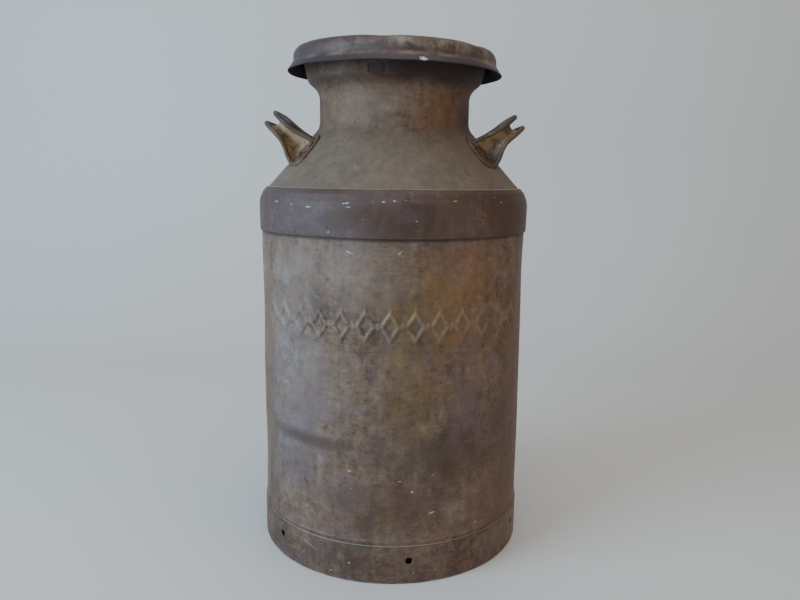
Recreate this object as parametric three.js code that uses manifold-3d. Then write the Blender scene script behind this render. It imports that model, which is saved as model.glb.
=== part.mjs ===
// A ten-gallon milk can in riveted and soldered sheet steel, with a lift-out umbrella cover.
// Millimetres, +Z up, origin on the floor under the middle of the can. The two carrying handles
// stand on +X and -X, and the side seam is at the back, on +Y.
import * as THREE from "three";
import { mergeVertices } from "three/addons/utils/BufferGeometryUtils.js";
import Module from "manifold-3d";

const wasm = await Module();
wasm.setup();

// ---- Driving dimensions -------------------------------------------------------------------

const SEGMENTS = 48; // facets around every turned piece
const GAP = 0.3; // clearance between pieces that touch
const SHEET = 1.2; // gauge of the body, breast and cover

const BODY_RADIUS = 165;
const BODY_BOTTOM = 33.5;
const BODY_TOP = 431;
const BODY_BEAD = { height: 51, rise: 0.9, half: 2.6 }; // ridge that seats the bottom pan
const SEAM = { half: 7, rise: 1 }; // lapped side seam

const FOOT = { top: 45.5, gauge: 1.4, roll: 2.4, flat: 1.2 };
const DRAIN = { count: 6, radius: 4, height: 28.5, firstDegrees: 8 };
const PAN = { gauge: 1.5, flange: 34, top: 47, corner: 5, sag: 6 };

const CONE = { radius: 162.4, height: 440, topRadius: 92.4, topHeight: 519 };
const SKIRT = { bottom: 404, radius: 163.5 }; // breast skirt, inside the body
const NECK_FILLET = 18;
const FLARE = { start: 552, radius: 20, degrees: 50, run: 5, corner: 8, lean: 15.5 };
const CURL = { radius: 116, height: 605.2, wire: 2 }; // wired edge of the mouth
const BAND = { bottom: 396, straight: 427, gauge: 1.8, edge: 446.3, topGauge: 1.4 };

const COVER = { radius: 124, lip: 131, lipHeight: 584, skirtBottom: 596, top: 611.2, round: 11.2 };
const RECESS = { radius: 102.4, round: 4, collarBottom: 592 };
const PLUG = { top: 604, shoulder: 580, radius: 90.2, neckTop: 561, floor: 548, corner: 4 };
const STRAP = { half: 13, gauge: 2.5, reach: 98.4, foot: 580, crown: 604.5, bend: 9 };

const HANDLE = { baseX: 111.6, baseZ: 492.7, tilt: 45, gauge: 2.8 };
const GRIP = { reach: 37.5, halfSpan: 45, corner: 16, radius: 12, wrap: 105, offset: 3 };
const FOOTING = { depth: -16, halfWidth: 21, spread: 3 };
const PAD = { degrees: 27, height: 490, halfWidth: 17, halfLength: 27, gauge: 2.4 };
const RIVET = { shank: 2, head: 4, dome: 1.8, tail: 3.2, tailHeight: 1.2, sides: 12 };
const HANDLE_RIVETS = { y: 60, heights: [483, 496] };
const STRAP_RIVETS = { offset: 7, height: 585.5 };

// ---- Outlines -----------------------------------------------------------------------------

const rad = THREE.MathUtils.degToRad;
const point = (x, y) => new THREE.Vector2(x, y);

// Points along a circular arc, angles in degrees from the +x axis of the outline.
function arc(x, y, radius, from, to, steps) {
  return Array.from({ length: steps + 1 }, (_, i) => {
    const a = rad(from + ((to - from) * i) / steps);
    return point(x + radius * Math.cos(a), y + radius * Math.sin(a));
  });
}

// Direction across each point of a line, to the left of its travel, lengthened at the corners.
function sideways(line) {
  return line.map((p, i) => {
    const into = line[Math.max(i, 1)].clone().sub(line[Math.max(i, 1) - 1]).normalize();
    const next = Math.min(i, line.length - 2);
    const out = line[next + 1].clone().sub(line[next]).normalize();
    const middle = into.clone().add(out).normalize();
    const left = point(-middle.y, middle.x);
    return left.divideScalar(left.dot(point(-into.y, into.x)));
  });
}

// The closed outline of a sheet that lies to the left of a line.
function sheet(line, gauge) {
  const left = sideways(line);
  const inner = line.map((p, i) => p.clone().addScaledVector(left[i], gauge));
  return [...line, ...inner.reverse()];
}

// The same closed outline, always travelling anticlockwise.
function anticlockwise(outline) {
  return THREE.ShapeUtils.area(outline) > 0 ? outline : [...outline].reverse();
}

// ---- Solids -------------------------------------------------------------------------------

function toSolid(geometry) {
  const bare = (geometry.index ? geometry.toNonIndexed() : geometry.clone());
  bare.deleteAttribute("normal");
  bare.deleteAttribute("uv");
  const merged = mergeVertices(bare, 1e-4);
  return new wasm.Manifold(
    new wasm.Mesh({
      numProp: 3,
      vertProperties: merged.attributes.position.array,
      triVerts: new Uint32Array(merged.index.array),
    }),
  );
}

function toGeometry(solid) {
  const { vertProperties, triVerts } = solid.getMesh();
  const geometry = new THREE.BufferGeometry();
  geometry.setAttribute("position", new THREE.BufferAttribute(vertProperties, 3));
  geometry.setIndex(new THREE.BufferAttribute(triVerts, 1));
  geometry.computeVertexNormals();
  return geometry;
}

// A closed (radius, height) outline turned around the +Z axis.
function revolve(outline, segments = SEGMENTS) {
  const ordered = anticlockwise(outline);
  const ring = new THREE.LatheGeometry([...ordered, ordered[0]], segments);
  return toSolid(ring.rotateX(Math.PI / 2));
}

// A round bar along a direction, centred on a place.
function bar(radius, length, place, direction) {
  const turn = new THREE.Quaternion().setFromUnitVectors(new THREE.Vector3(0, 1, 0), direction);
  const shape = new THREE.CylinderGeometry(radius, radius, length, RIVET.sides);
  return toSolid(shape.applyQuaternion(turn).translate(place.x, place.y, place.z));
}

function block(x, y, z, place) {
  return toSolid(new THREE.BoxGeometry(x, y, z).translate(place.x, place.y, place.z));
}

// A skin through rings of points, closed by a flat face at each end. Each ring is a lifted copy
// of an anticlockwise outline, and the first outline gives the triangles of the end faces.
function loft(rings, outline) {
  const count = outline.length;
  const index = [];
  for (let i = 0; i < rings.length - 1; i++) {
    for (let j = 0; j < count; j++) {
      const a = i * count + j;
      const b = i * count + ((j + 1) % count);
      index.push(a, b, b + count, a, b + count, a + count);
    }
  }
  const last = (rings.length - 1) * count;
  for (const [a, b, c] of THREE.ShapeUtils.triangulateShape(outline, [])) {
    index.push(a, c, b, last + a, last + b, last + c);
  }
  const geometry = new THREE.BufferGeometry().setFromPoints(rings.flat());
  geometry.setIndex(index);
  return toSolid(geometry);
}

// ---- Body ---------------------------------------------------------------------------------

function bodyShell() {
  const { height, rise, half } = BODY_BEAD;
  const line = [
    point(BODY_RADIUS, BODY_BOTTOM),
    point(BODY_RADIUS, height - half),
    point(BODY_RADIUS + rise, height),
    point(BODY_RADIUS, height + half),
    point(BODY_RADIUS, BODY_TOP),
  ];
  const low = height + half + 1;
  const high = BAND.bottom - 1;
  const lap = sheet([point(BODY_RADIUS + SEAM.rise, low), point(BODY_RADIUS + SEAM.rise, high)], SHEET);
  const back = block(2 * SEAM.half, BODY_RADIUS, high, { x: 0, y: BODY_RADIUS, z: high / 2 + low / 2 });
  return revolve(sheet(line, SHEET)).add(revolve(lap).intersect(back));
}

function bottomHoop() {
  const inner = BODY_RADIUS + GAP;
  const outer = inner + FOOT.gauge;
  const { roll, flat, top } = FOOT;
  const centre = outer - roll;
  const outline = [
    point(outer, top),
    ...arc(centre, roll, roll, 0, -90, 4),
    ...arc(centre - flat, roll, roll, -90, -270, 5),
    point(centre, 2 * roll),
    point(inner, 2 * roll + 1),
    point(inner, top),
  ];
  let hoop = revolve(outline);
  for (let i = 0; i < DRAIN.count; i++) {
    const a = rad(DRAIN.firstDegrees - 90 + (360 / DRAIN.count) * i);
    const out = new THREE.Vector3(Math.cos(a), Math.sin(a), 0);
    const place = out.clone().multiplyScalar(outer).setZ(DRAIN.height);
    hoop = hoop.subtract(bar(DRAIN.radius, 12, place, out));
  }
  return hoop;
}

// A shallow dished disc with a turned-down flange, seated under the body's bead.
function bottomPan() {
  const edge = BODY_RADIUS - SHEET - GAP;
  const { gauge, flange, top, corner, sag } = PAN;
  const upper = [
    point(edge, flange),
    ...arc(edge - corner, top - corner, corner, 0, 90, 3),
    point(edge * 0.75, top - sag * 0.44),
    point(edge * 0.5, top - sag * 0.75),
    point(edge * 0.25, top - sag * 0.94),
    point(0, top - sag),
  ];
  const lower = sideways(upper).map((left, i) => upper[i].clone().addScaledVector(left, gauge));
  lower[lower.length - 1].x = 0;
  return revolve([...upper, ...lower.reverse()]);
}

// ---- Breast, neck and mouth ---------------------------------------------------------------

// Along the cone's slope, going up, and out of its surface.
const ALONG = point(CONE.topRadius - CONE.radius, CONE.topHeight - CONE.height).normalize();
const OUT = point(ALONG.y, -ALONG.x);

// The point of the breast's cone at a height, and the same point lifted off the sheet.
function onCone(height, lift = 0) {
  const share = (height - CONE.height) / (CONE.topHeight - CONE.height);
  const radius = THREE.MathUtils.lerp(CONE.radius, CONE.topRadius, share);
  return point(radius, height).addScaledVector(OUT, lift);
}

function breastLine() {
  const slope = THREE.MathUtils.radToDeg(Math.atan2(OUT.y, OUT.x));
  const reach = NECK_FILLET * Math.tan(rad(slope / 2));
  const neck = CONE.topRadius;
  const { start, radius, degrees, run, corner, lean } = FLARE;
  const bend = arc(neck + radius, start, radius, 180, 180 - degrees, 4);
  const knee = bend.at(-1).clone().add(point(run, run / Math.tan(rad(degrees))));
  const hub = knee.clone().sub(point(corner * Math.cos(rad(degrees)), -corner * Math.sin(rad(degrees))));
  const bowl = arc(hub.x, hub.y, corner, -degrees, -lean, 2);
  const curl = arc(CURL.radius, CURL.height, CURL.wire + GAP, 180 - lean, -60, 7);
  return [
    point(SKIRT.radius, SKIRT.bottom),
    point(SKIRT.radius, CONE.height - 5.5),
    onCone(CONE.height),
    ...arc(neck + NECK_FILLET, CONE.topHeight + reach, NECK_FILLET, 180 + slope, 180, 4),
    ...bend,
    ...bowl,
    ...curl,
  ];
}

const handleSpots = (side) =>
  [-1, 1].flatMap((end) =>
    HANDLE_RIVETS.heights.map((height, i) => {
      const a = end * Math.asin(HANDLE_RIVETS.y / onCone(height).x) + (side > 0 ? 0 : Math.PI);
      const turn = (p) => new THREE.Vector3(p.x * Math.cos(a), p.x * Math.sin(a), p.y);
      const name = `${end * side < 0 ? "front" : "rear"}_${i ? "upper" : "lower"}`;
      return { name, place: turn(onCone(height)), out: turn(OUT) };
    }),
  );

function breastAndNeck() {
  let breast = revolve(sheet(breastLine(), SHEET));
  for (const spot of [...handleSpots(-1), ...handleSpots(1)]) {
    breast = breast.subtract(bar(RIVET.shank + GAP, 12, spot.place, spot.out));
  }
  return breast;
}

function mouthWire() {
  return revolve(arc(CURL.radius, CURL.height, CURL.wire, 0, 315, 7));
}

function breastHoop() {
  const outer = BODY_RADIUS + GAP + BAND.gauge;
  const inner = BODY_RADIUS + GAP;
  const lift = GAP + BAND.topGauge;
  return revolve([
    point(outer, BAND.bottom),
    point(outer, BAND.straight),
    point(outer - 0.6, BAND.straight + 5.5),
    onCone(CONE.height + 1, lift),
    onCone(BAND.edge, lift),
    onCone(BAND.edge, GAP),
    onCone(CONE.height + 0.5, GAP),
    point(inner, BODY_TOP + 1.5),
    point(inner, BAND.bottom),
  ]);
}

// ---- Solder fillets -----------------------------------------------------------------------

const fillet = (corner, along, out, size) =>
  revolve([
    corner,
    corner.clone().addScaledVector(out, size),
    corner.clone().addScaledVector(along, 1.4 * size),
  ]);

const SOLDER = 1.2;
const solderRings = {
  breast_hoop_solder: () => {
    const edge = onCone(BAND.edge, GAP).addScaledVector(ALONG, GAP);
    return fillet(edge, ALONG, OUT, SOLDER);
  },
  bottom_hoop_solder: () =>
    fillet(point(BODY_RADIUS + GAP, FOOT.top + GAP), point(0, 1), point(1, 0), SOLDER * 0.9),
  bottom_pan_solder: () =>
    fillet(point(BODY_RADIUS - SHEET - GAP, PAN.top + GAP), point(-1, 0), point(0, 1), SOLDER * 1.4),
  cover_solder: () =>
    fillet(point(RECESS.radius, RECESS.collarBottom - GAP), point(0, -1), point(1, 0), SOLDER),
};

// ---- Cover --------------------------------------------------------------------------------

// The umbrella: flared lip, skirt, rounded shoulder, narrow flat top and a collar into the recess.
function coverRim() {
  const { radius, lip, lipHeight, skirtBottom, top, round } = COVER;
  const drop = skirtBottom - lipHeight;
  const line = [
    point(lip, lipHeight),
    point(lip - (lip - radius) * 0.5, lipHeight + drop * 0.38),
    point(lip - (lip - radius) * 0.85, lipHeight + drop * 0.72),
    point(radius, skirtBottom),
    ...arc(radius - round, top - round, round, 0, 90, 4),
    ...arc(RECESS.radius + RECESS.round, top - RECESS.round, RECESS.round, 90, 180, 3),
    point(RECESS.radius, RECESS.collarBottom),
  ];
  return revolve(sheet(line, SHEET));
}

// The deep cup that plugs the neck and holds the hand grip.
function coverPlug() {
  const outer = RECESS.radius - GAP;
  const { top, shoulder, radius, neckTop, floor, corner } = PLUG;
  const line = [
    point(outer, top),
    point(outer - 0.6, shoulder),
    point(radius + 0.4, neckTop),
    ...arc(radius - corner, floor + corner, corner, 0, -90, 3),
    point(0, floor),
  ];
  const inner = sideways(line).map((left, i) => line[i].clone().addScaledVector(left, -SHEET));
  inner[inner.length - 1].x = 0;
  let plug = revolve([...line, ...inner.reverse()]);
  for (const spot of strapSpots) {
    plug = plug.subtract(bar(RIVET.shank + GAP, 16, spot.place, spot.out));
  }
  return plug;
}

const strapSpots = [-1, 1].flatMap((end) =>
  [-1, 1].map((side) => ({
    name: `${end < 0 ? "left" : "right"}_${side < 0 ? "front" : "rear"}`,
    place: new THREE.Vector3(end * STRAP.reach, side * STRAP_RIVETS.offset, STRAP_RIVETS.height),
    out: new THREE.Vector3(-end, 0, 0),
  })),
);

// A flat strap across the recess, bent down at both ends.
function strapHandle() {
  const { half, gauge, reach, foot, crown, bend } = STRAP;
  const rightHalf = [
    point(0, crown),
    point(reach * 0.5, crown - 1),
    ...arc(reach - bend, crown - 3 - bend, bend, 90, 0, 4),
    point(reach, foot),
  ];
  const leftHalf = rightHalf.slice(1).reverse().map((p) => point(-p.x, p.y));
  const outline = sheet([...leftHalf, ...rightHalf], -gauge);
  const strap = new THREE.ExtrudeGeometry(new THREE.Shape(outline), {
    depth: 2 * half,
    bevelEnabled: false,
  });
  let solid = toSolid(strap.rotateX(Math.PI / 2).translate(0, half, 0));
  for (const spot of strapSpots) {
    solid = solid.subtract(bar(RIVET.shank + GAP, 16, spot.place, spot.out));
  }
  return solid;
}

// ---- Carrying handles ---------------------------------------------------------------------

// The line of the channel's web, in the plane of the loop: y across the can, v out of it.
function gripLine() {
  const { reach, halfSpan, corner } = GRIP;
  const side = [
    point(halfSpan + FOOTING.spread, FOOTING.depth),
    point(halfSpan + FOOTING.spread * 0.7, FOOTING.depth / 2),
    point(halfSpan + FOOTING.spread * 0.3, 2),
    point(halfSpan, 12),
    ...arc(halfSpan - corner, reach - corner, corner, 0, 90, 5),
    point(halfSpan * 0.3, reach + 0.6),
  ];
  return [...side, ...[...side].reverse().map((p) => point(-p.x, p.y))];
}

// The pressed channel's section: open away from the loop, with the edges curling in.
function channel(halfWidth, depth) {
  const wrap = GRIP.wrap;
  const steps = 8;
  const middle = Array.from({ length: steps + 1 }, (_, i) => {
    const a = rad(-wrap + (2 * wrap * i) / steps);
    return point(depth * (1 - Math.cos(a)), halfWidth * Math.sin(a));
  });
  const left = sideways(middle);
  const face = (sign) =>
    middle.map((p, i) => p.clone().addScaledVector(left[i], (sign * HANDLE.gauge) / 2));
  return anticlockwise([...face(1), ...face(-1).reverse()]);
}

function handle() {
  const line = gripLine();
  const across = sideways(line);
  const tilt = rad(HANDLE.tilt);
  const base = new THREE.Vector3(HANDLE.baseX, 0, HANDLE.baseZ);
  const out = new THREE.Vector3(Math.cos(tilt), 0, Math.sin(tilt));
  const up = new THREE.Vector3(-Math.sin(tilt), 0, Math.cos(tilt));
  const widths = line.map((p) => {
    const share = THREE.MathUtils.smoothstep(p.y, FOOTING.depth, GRIP.reach * 0.8);
    return THREE.MathUtils.lerp(FOOTING.halfWidth, GRIP.radius, share);
  });
  const rings = line.map((p, i) => {
    const away = across[i].clone().normalize().negate();
    return channel(widths[i], GRIP.radius).map((q) => {
      const lift = GRIP.offset * THREE.MathUtils.smoothstep(p.y, 0, GRIP.reach);
      return base
        .clone()
        .addScaledVector(out, p.y + away.y * q.x)
        .addScaledVector(up, q.y + lift)
        .add(new THREE.Vector3(0, p.x + away.x * q.x, 0));
    });
  });
  const breast = revolve([point(0, 400), onCone(410, GAP), onCone(530, GAP), point(0, 530)]);
  let made = loft(rings, channel(widths[0], GRIP.radius)).subtract(breast);
  for (const end of [-1, 1]) {
    made = made.add(footPad(end));
  }
  for (const spot of handleSpots(1)) {
    made = made.subtract(bar(RIVET.shank + GAP, 12, spot.place, spot.out));
  }
  return made;
}

// The flange under one foot: an oval of sheet that follows the cone.
function footPad(end) {
  const skin = revolve([
    onCone(450, GAP),
    onCone(530, GAP),
    onCone(530, GAP + PAD.gauge),
    onCone(450, GAP + PAD.gauge),
  ]);
  const turn = new THREE.Matrix4().makeRotationZ(rad(end * PAD.degrees));
  const frame = new THREE.Matrix4().makeBasis(
    new THREE.Vector3(0, PAD.halfWidth, 0),
    new THREE.Vector3(OUT.x, 0, OUT.y),
    new THREE.Vector3(ALONG.x, 0, ALONG.y).multiplyScalar(-PAD.halfLength),
  );
  const middle = onCone(PAD.height);
  frame.setPosition(middle.x, 0, middle.y).premultiply(turn);
  const oval = new THREE.CylinderGeometry(1, 1, 60, 24);
  return skin.intersect(toSolid(oval.applyMatrix4(frame)));
}

// ---- Rivets -------------------------------------------------------------------------------

// Domed head, shank and hammered tail along +Y, with the grip between head and tail.
function rivet(grip) {
  const { shank, head, dome, tail, tailHeight, sides } = RIVET;
  const outline = [
    point(0, dome),
    point(head * 0.7, dome * 0.7),
    point(head, 0),
    point(shank, 0),
    point(shank, -grip),
    point(tail, -grip),
    point(tail * 0.7, -grip - tailHeight),
    point(0, -grip - tailHeight),
  ];
  return new THREE.LatheGeometry(anticlockwise(outline), sides);
}

// ---- Assembly -----------------------------------------------------------------------------

const finish = (color, roughness, metalness) =>
  new THREE.MeshStandardMaterial({ color, roughness, metalness });
const tinnedSteel = finish(0x6f6259, 0.62, 0.55);
const rustedSteel = finish(0x574743, 0.68, 0.5);
const coverSteel = finish(0x544b4b, 0.6, 0.55);
const handleSteel = finish(0x5a4635, 0.55, 0.6);
const solderMetal = finish(0x8f8675, 0.5, 0.7);

const can = new THREE.Group();

function place(name, shape, material, holder = can) {
  const mesh = new THREE.Mesh(shape.isBufferGeometry ? shape : toGeometry(shape), material);
  mesh.name = name;
  holder.add(mesh);
  return mesh;
}

function placeRivet(name, spot, lift, grip, material) {
  const mesh = place(name, rivet(grip), material);
  mesh.position.copy(spot.place).addScaledVector(spot.out, lift);
  mesh.quaternion.setFromUnitVectors(new THREE.Vector3(0, 1, 0), spot.out);
}

place("body_shell", bodyShell(), tinnedSteel);
place("bottom_pan", bottomPan(), tinnedSteel);
place("bottom_hoop", bottomHoop(), rustedSteel);
place("breast_and_neck", breastAndNeck(), tinnedSteel);
place("breast_hoop", breastHoop(), rustedSteel);
place("mouth_wire", mouthWire(), handleSteel);
place("cover_rim", coverRim(), coverSteel);
place("cover_plug", coverPlug(), coverSteel);
place("cover_strap", strapHandle(), coverSteel);
for (const [name, ring] of Object.entries(solderRings)) {
  place(name, ring(), solderMetal);
}

const handleShape = toGeometry(handle());
const handleLift = 2 * GAP + PAD.gauge;
for (const [side, name] of [[-1, "left"], [1, "right"]]) {
  const turned = new THREE.Group();
  turned.rotation.z = side > 0 ? 0 : Math.PI;
  can.add(turned);
  place(`handle_${name}`, handleShape, handleSteel, turned);
  for (const spot of handleSpots(side)) {
    const grip = handleLift + SHEET + GAP;
    placeRivet(`handle_${name}_rivet_${spot.name}`, spot, handleLift, grip, handleSteel);
  }
}

for (const spot of strapSpots) {
  const lift = STRAP.gauge + GAP;
  const grip = RECESS.radius - STRAP.reach + lift;
  placeRivet(`cover_rivet_${spot.name}`, spot, lift, grip, coverSteel);
}

export default can;
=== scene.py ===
"""An old sheet-steel milk can with its umbrella cover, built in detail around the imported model.

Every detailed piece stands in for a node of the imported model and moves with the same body. Lengths
are metres, +Z is up and the front of the can faces -Y.
"""

import math
from contextlib import contextmanager

import bmesh
import bpy
import numpy as np
from bpy.props import FloatProperty, FloatVectorProperty, IntProperty, PointerProperty
from mathutils import Euler, Matrix, Vector, kdtree, noise


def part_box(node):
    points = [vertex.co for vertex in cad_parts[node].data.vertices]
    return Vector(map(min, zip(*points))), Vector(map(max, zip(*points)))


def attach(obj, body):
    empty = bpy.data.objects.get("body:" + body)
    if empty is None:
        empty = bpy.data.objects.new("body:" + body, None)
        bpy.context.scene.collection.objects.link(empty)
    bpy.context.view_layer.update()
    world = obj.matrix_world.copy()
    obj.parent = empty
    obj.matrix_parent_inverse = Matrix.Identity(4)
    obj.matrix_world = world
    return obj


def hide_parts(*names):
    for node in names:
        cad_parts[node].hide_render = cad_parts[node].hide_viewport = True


bl_info = {
    "name": "Milk Can",
    "version": (1, 0, 0),
    "blender": (4, 5, 0),
    "location": "View3D > Sidebar > Milk Can",
    "description": "Builds an old sheet-steel milk can and its cover, piece by piece",
    "category": "Add Mesh",
}

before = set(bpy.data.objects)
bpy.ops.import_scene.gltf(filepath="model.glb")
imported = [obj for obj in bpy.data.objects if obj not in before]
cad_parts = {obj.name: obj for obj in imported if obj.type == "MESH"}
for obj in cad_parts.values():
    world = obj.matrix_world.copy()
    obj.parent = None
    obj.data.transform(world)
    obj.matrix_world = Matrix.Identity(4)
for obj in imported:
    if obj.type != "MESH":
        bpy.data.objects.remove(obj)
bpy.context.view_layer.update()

MM = 0.001
SHEET = 1.2 * MM  # gauge of the body, breast and cover
GAP = 0.3 * MM  # clearance between pieces that touch
BODY, FOOT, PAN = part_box("body_shell"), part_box("bottom_hoop"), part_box("bottom_pan")
BAND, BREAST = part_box("breast_hoop"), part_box("breast_and_neck")
RIM, PLUG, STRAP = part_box("cover_rim"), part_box("cover_plug"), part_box("cover_strap")
CORNERS = [(end, tier) for end in ("front", "rear") for tier in ("lower", "upper")]
MOUTH = (116 * MM, 605.2 * MM)  # radius and height of the wire in the mouth's edge
MOUTH_WIRE = 2 * MM
HOOP_EDGE = 446.3 * MM  # height of the breast hoop's upper edge, on the cone
RECESS_FOOT = 592 * MM  # lower end of the collar around the cover's recess
CROWN_TOP = 611.2 * MM
ORNAMENT_HEIGHT = 301 * MM
DRAIN_HEIGHT, DRAIN_RADIUS, DRAINS, FIRST_DRAIN = 28.5 * MM, 4 * MM, 6, 8  # the last in degrees
MARK_HEIGHT, MARK_TURN = 578.5 * MM, -9.8  # the square press mark in the flare
# The bruise is bare metal, painted as bright as a glint: partly a painted highlight.
BRUISE_TURN = 14  # degrees from the front to the bright bruise on the lip


# ---- What a user can change ---------------------------------------------------------------


def length(name, description, default):
    return FloatProperty(name=name, description=description, default=default, unit="LENGTH")


def colour(name, description, default):
    return FloatVectorProperty(
        name=name, description=description, default=default, min=0, max=1, size=3, subtype="COLOR"
    )


class MilkCanSizes(bpy.types.PropertyGroup):
    body_radius: length("Body radius", "Outside of the body sheet", PAN[1].x + GAP + SHEET)
    bead_height: length("Bead height", "Ridge that seats the bottom pan", 51 * MM)
    foot_gauge: length("Foot hoop gauge", "Thickness of the bottom hoop", 1.4 * MM)
    band_gauge: length("Breast hoop gauge", "Thickness of the breast hoop", 1.8 * MM)
    cone_height: length("Cone height", "Foot of the breast's cone", 440 * MM)
    cone_radius: length("Cone radius", "Radius at the foot of the cone", 162.4 * MM)
    neck_height: length("Neck height", "Where the cone would meet the neck", 519 * MM)
    neck_radius: length("Neck radius", "Outside of the straight neck", 92.4 * MM)
    cover_radius: length("Cover radius", "Outside of the cover's skirt", 124 * MM)
    recess_radius: length("Recess radius", "Collar around the cover's recess", 102.4 * MM)
    dent_depth: length("Dents", "How far the sheet strays from true round", 1.1 * MM)
    relief: length("Ornament relief", "How far the raised ornaments stand out", 1.9 * MM)
    ornaments: IntProperty(
        name="Ornaments", description="Raised ornaments across the front", default=13, min=1, max=20
    )


class MilkCanFinish(bpy.types.PropertyGroup):
    pale: colour("Pale patina", "Worn grey sheet", (0.292, 0.228, 0.178))
    brown: colour("Brown patina", "Even brown rust", (0.187, 0.116, 0.073))
    dark: colour("Dark patina", "Old dark rust", (0.075, 0.044, 0.033))
    ochre: colour("Ochre rust", "Yellow-brown rust blooms", (0.23, 0.145, 0.035))
    orange: colour("Orange rust", "Fresher rust blooms", (0.26, 0.115, 0.035))
    umber: colour("Umber rust", "Deep warm brown rust", (0.125, 0.062, 0.03))
    violet: colour("Violet oxide", "Cool violet-grey oxide", (0.146, 0.104, 0.122))
    # Tan rust, made light as painted light in the handles' hollow.
    tan: colour("Tan rust", "Rubbed rust in the handles", (0.56, 0.38, 0.19))
    # Soot: real grime in the rust pits, and the colour of the painted shade on inside faces, under the
    # breast hoop, under the cover's lip and in the press mark.
    soot_and_shade: colour("Soot", "Grime in corners and under edges", (0.022, 0.012, 0.012))
    # A painted sheen: cool pale colour where the sheet faces the window light.
    painted_window_sheen: colour("Silvery sheet", "Bare cool sheet that faces the window", (0.33, 0.325, 0.345))
    bare: colour("Bare metal", "Scraped edges and specks", (0.62, 0.59, 0.55))
    lead: colour("Solder", "Dull solder metal", (0.52, 0.47, 0.38))


class MilkCanStage(bpy.types.PropertyGroup):
    floor: colour("Floor", "Plain pale floor and backdrop", (0.76, 0.75, 0.72))
    window: FloatProperty(
        name="Window light", description="Large soft light on the left", default=66, unit="POWER"
    )
    fill: FloatProperty(
        name="Warm fill", description="Weak warm light on the right", default=5, unit="POWER"
    )
    top: FloatProperty(
        name="Top light", description="Soft light from above", default=17, unit="POWER"
    )


# ---- Outlines: lists of (radius, height) --------------------------------------------------


def ease(value, low, high):
    """0 below low and 1 above high, with a smooth rise between them."""
    t = np.clip((np.asarray(value, float) - low) / (high - low), 0, 1)
    return t * t * (3 - 2 * t)


def unit(vectors):
    """The vectors at length one."""
    return vectors / np.linalg.norm(vectors, axis=-1, keepdims=True)


def arc(centre, radius, start, end, steps):
    """Points of a circular arc, with angles in degrees."""
    a = np.radians(np.linspace(start, end, steps + 1))
    return [(centre[0] + radius * math.cos(t), centre[1] + radius * math.sin(t)) for t in a]


def filleted(corners, step=9):
    """A line through (x, y, fillet radius) corners, with an arc at each rounded one."""
    line = [corners[0][:2]]
    for before, (x, y, radius), after in zip(corners, corners[1:], corners[2:]):
        here = np.array((x, y))
        back, ahead = unit(np.array([before[:2], after[:2]]) - here)
        turn = math.pi - math.acos(np.clip(back @ ahead, -1, 1))
        if radius == 0 or turn < 0.01:
            line.append((x, y))
            continue
        reach = radius * math.tan(turn / 2)
        hub = here + unit(back + ahead) * math.hypot(radius, reach)
        first, last = here + back * reach - hub, here + ahead * reach - hub
        count = max(2, math.ceil(math.degrees(turn) / step))
        for t in np.linspace(0, 1, count + 1):
            swing = math.sin((1 - t) * turn) * first + math.sin(t * turn) * last
            line.append(tuple(hub + swing / math.sin(turn)))
    return line + [corners[-1][:2]]


def divided(line, step):
    """The same line with points no further apart than step, a length or a rule for each height."""
    out = [line[0]]
    for a, b in zip(line, line[1:]):
        long, gone = math.dist(a, b), [0.0]
        while gone[-1] < long:
            height = a[1] + (b[1] - a[1]) * gone[-1] / long
            gone.append(gone[-1] + (step(height) if callable(step) else step))
        shares = np.array(gone[1:]) / gone[-1]
        out += [tuple(p) for p in np.outer(1 - shares, a) + np.outer(shares, b)]
    return out


def offset(line, distance):
    """The line moved to the left of its travel."""
    line = np.array(line)
    run = unit(np.diff(line, axis=0))
    before, after = np.vstack([run[:1], run]), np.vstack([run, run[-1:]])
    along = unit(before + after)
    left = np.column_stack([-along[:, 1], along[:, 0]])
    stretch = 1 / np.maximum((along * after).sum(axis=1), 0.5)
    return [tuple(p) for p in line + left * (distance * stretch)[:, None]]


def rounded_end(a, b, steps=3):
    """The points of a half circle from a to b, bulging to the left of the way from b to a."""
    a, b = np.array(a), np.array(b)
    middle, half = (a + b) / 2, (a - b) / 2
    across = np.array((-half[1], half[0])) * -1
    turns = np.linspace(0, math.pi, steps + 2)[1:-1]
    return [tuple(middle + half * math.cos(t) - across * math.sin(t)) for t in turns]


def closed(front, back, round_start=True):
    """A closed outline of (x, y, inside) between an outer and an inner line, its edges rounded."""
    front, back = list(front), list(back)
    end = rounded_end(front[-1], back[-1])
    start = rounded_end(back[0], front[0]) if round_start else []
    inside = np.repeat([0.0, 0.5, 1.0, 0.5], [len(front), len(end), len(back), len(start)])
    return np.column_stack([front + end + back[::-1] + start, inside])


def sheet(line, gauge, step=6 * MM, back_step=14 * MM):
    """The closed outline of a sheet that lies to the left of a line."""
    return closed(divided(line, step), divided(offset(line, gauge), back_step))


# ---- Meshes -------------------------------------------------------------------------------


def turns_round(step, *finer):
    """Turns from the front in radians, step degrees apart, closer in (from, to, step) stretches."""
    edges = [-180.0]
    for low, high, small in sorted(finer):
        edges += [low, high]
    edges.append(180.0)
    steps = [step] + [s for _, _, small in sorted(finer) for s in (small, step)]
    parts = []
    for low, high, gap in zip(edges, edges[1:], steps):
        if high > low:
            parts.append(np.linspace(low, high, max(1, math.ceil((high - low) / gap)), endpoint=False))
    return np.radians(np.concatenate(parts))


@contextmanager
def opened(mesh):
    """The mesh opened for editing, and written back at the end."""
    made = bmesh.new()
    made.from_mesh(mesh)
    yield made
    made.to_mesh(mesh)
    made.free()


def points_of(mesh):
    return np.array([vertex.co for vertex in mesh.vertices])


def mark(mesh, name, values):
    """Writes one value to each point of the mesh, for its finish to read."""
    made = mesh.attributes.new(name, "FLOAT", "POINT")
    made.data.foreach_set("value", np.asarray(values, np.float32))


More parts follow.
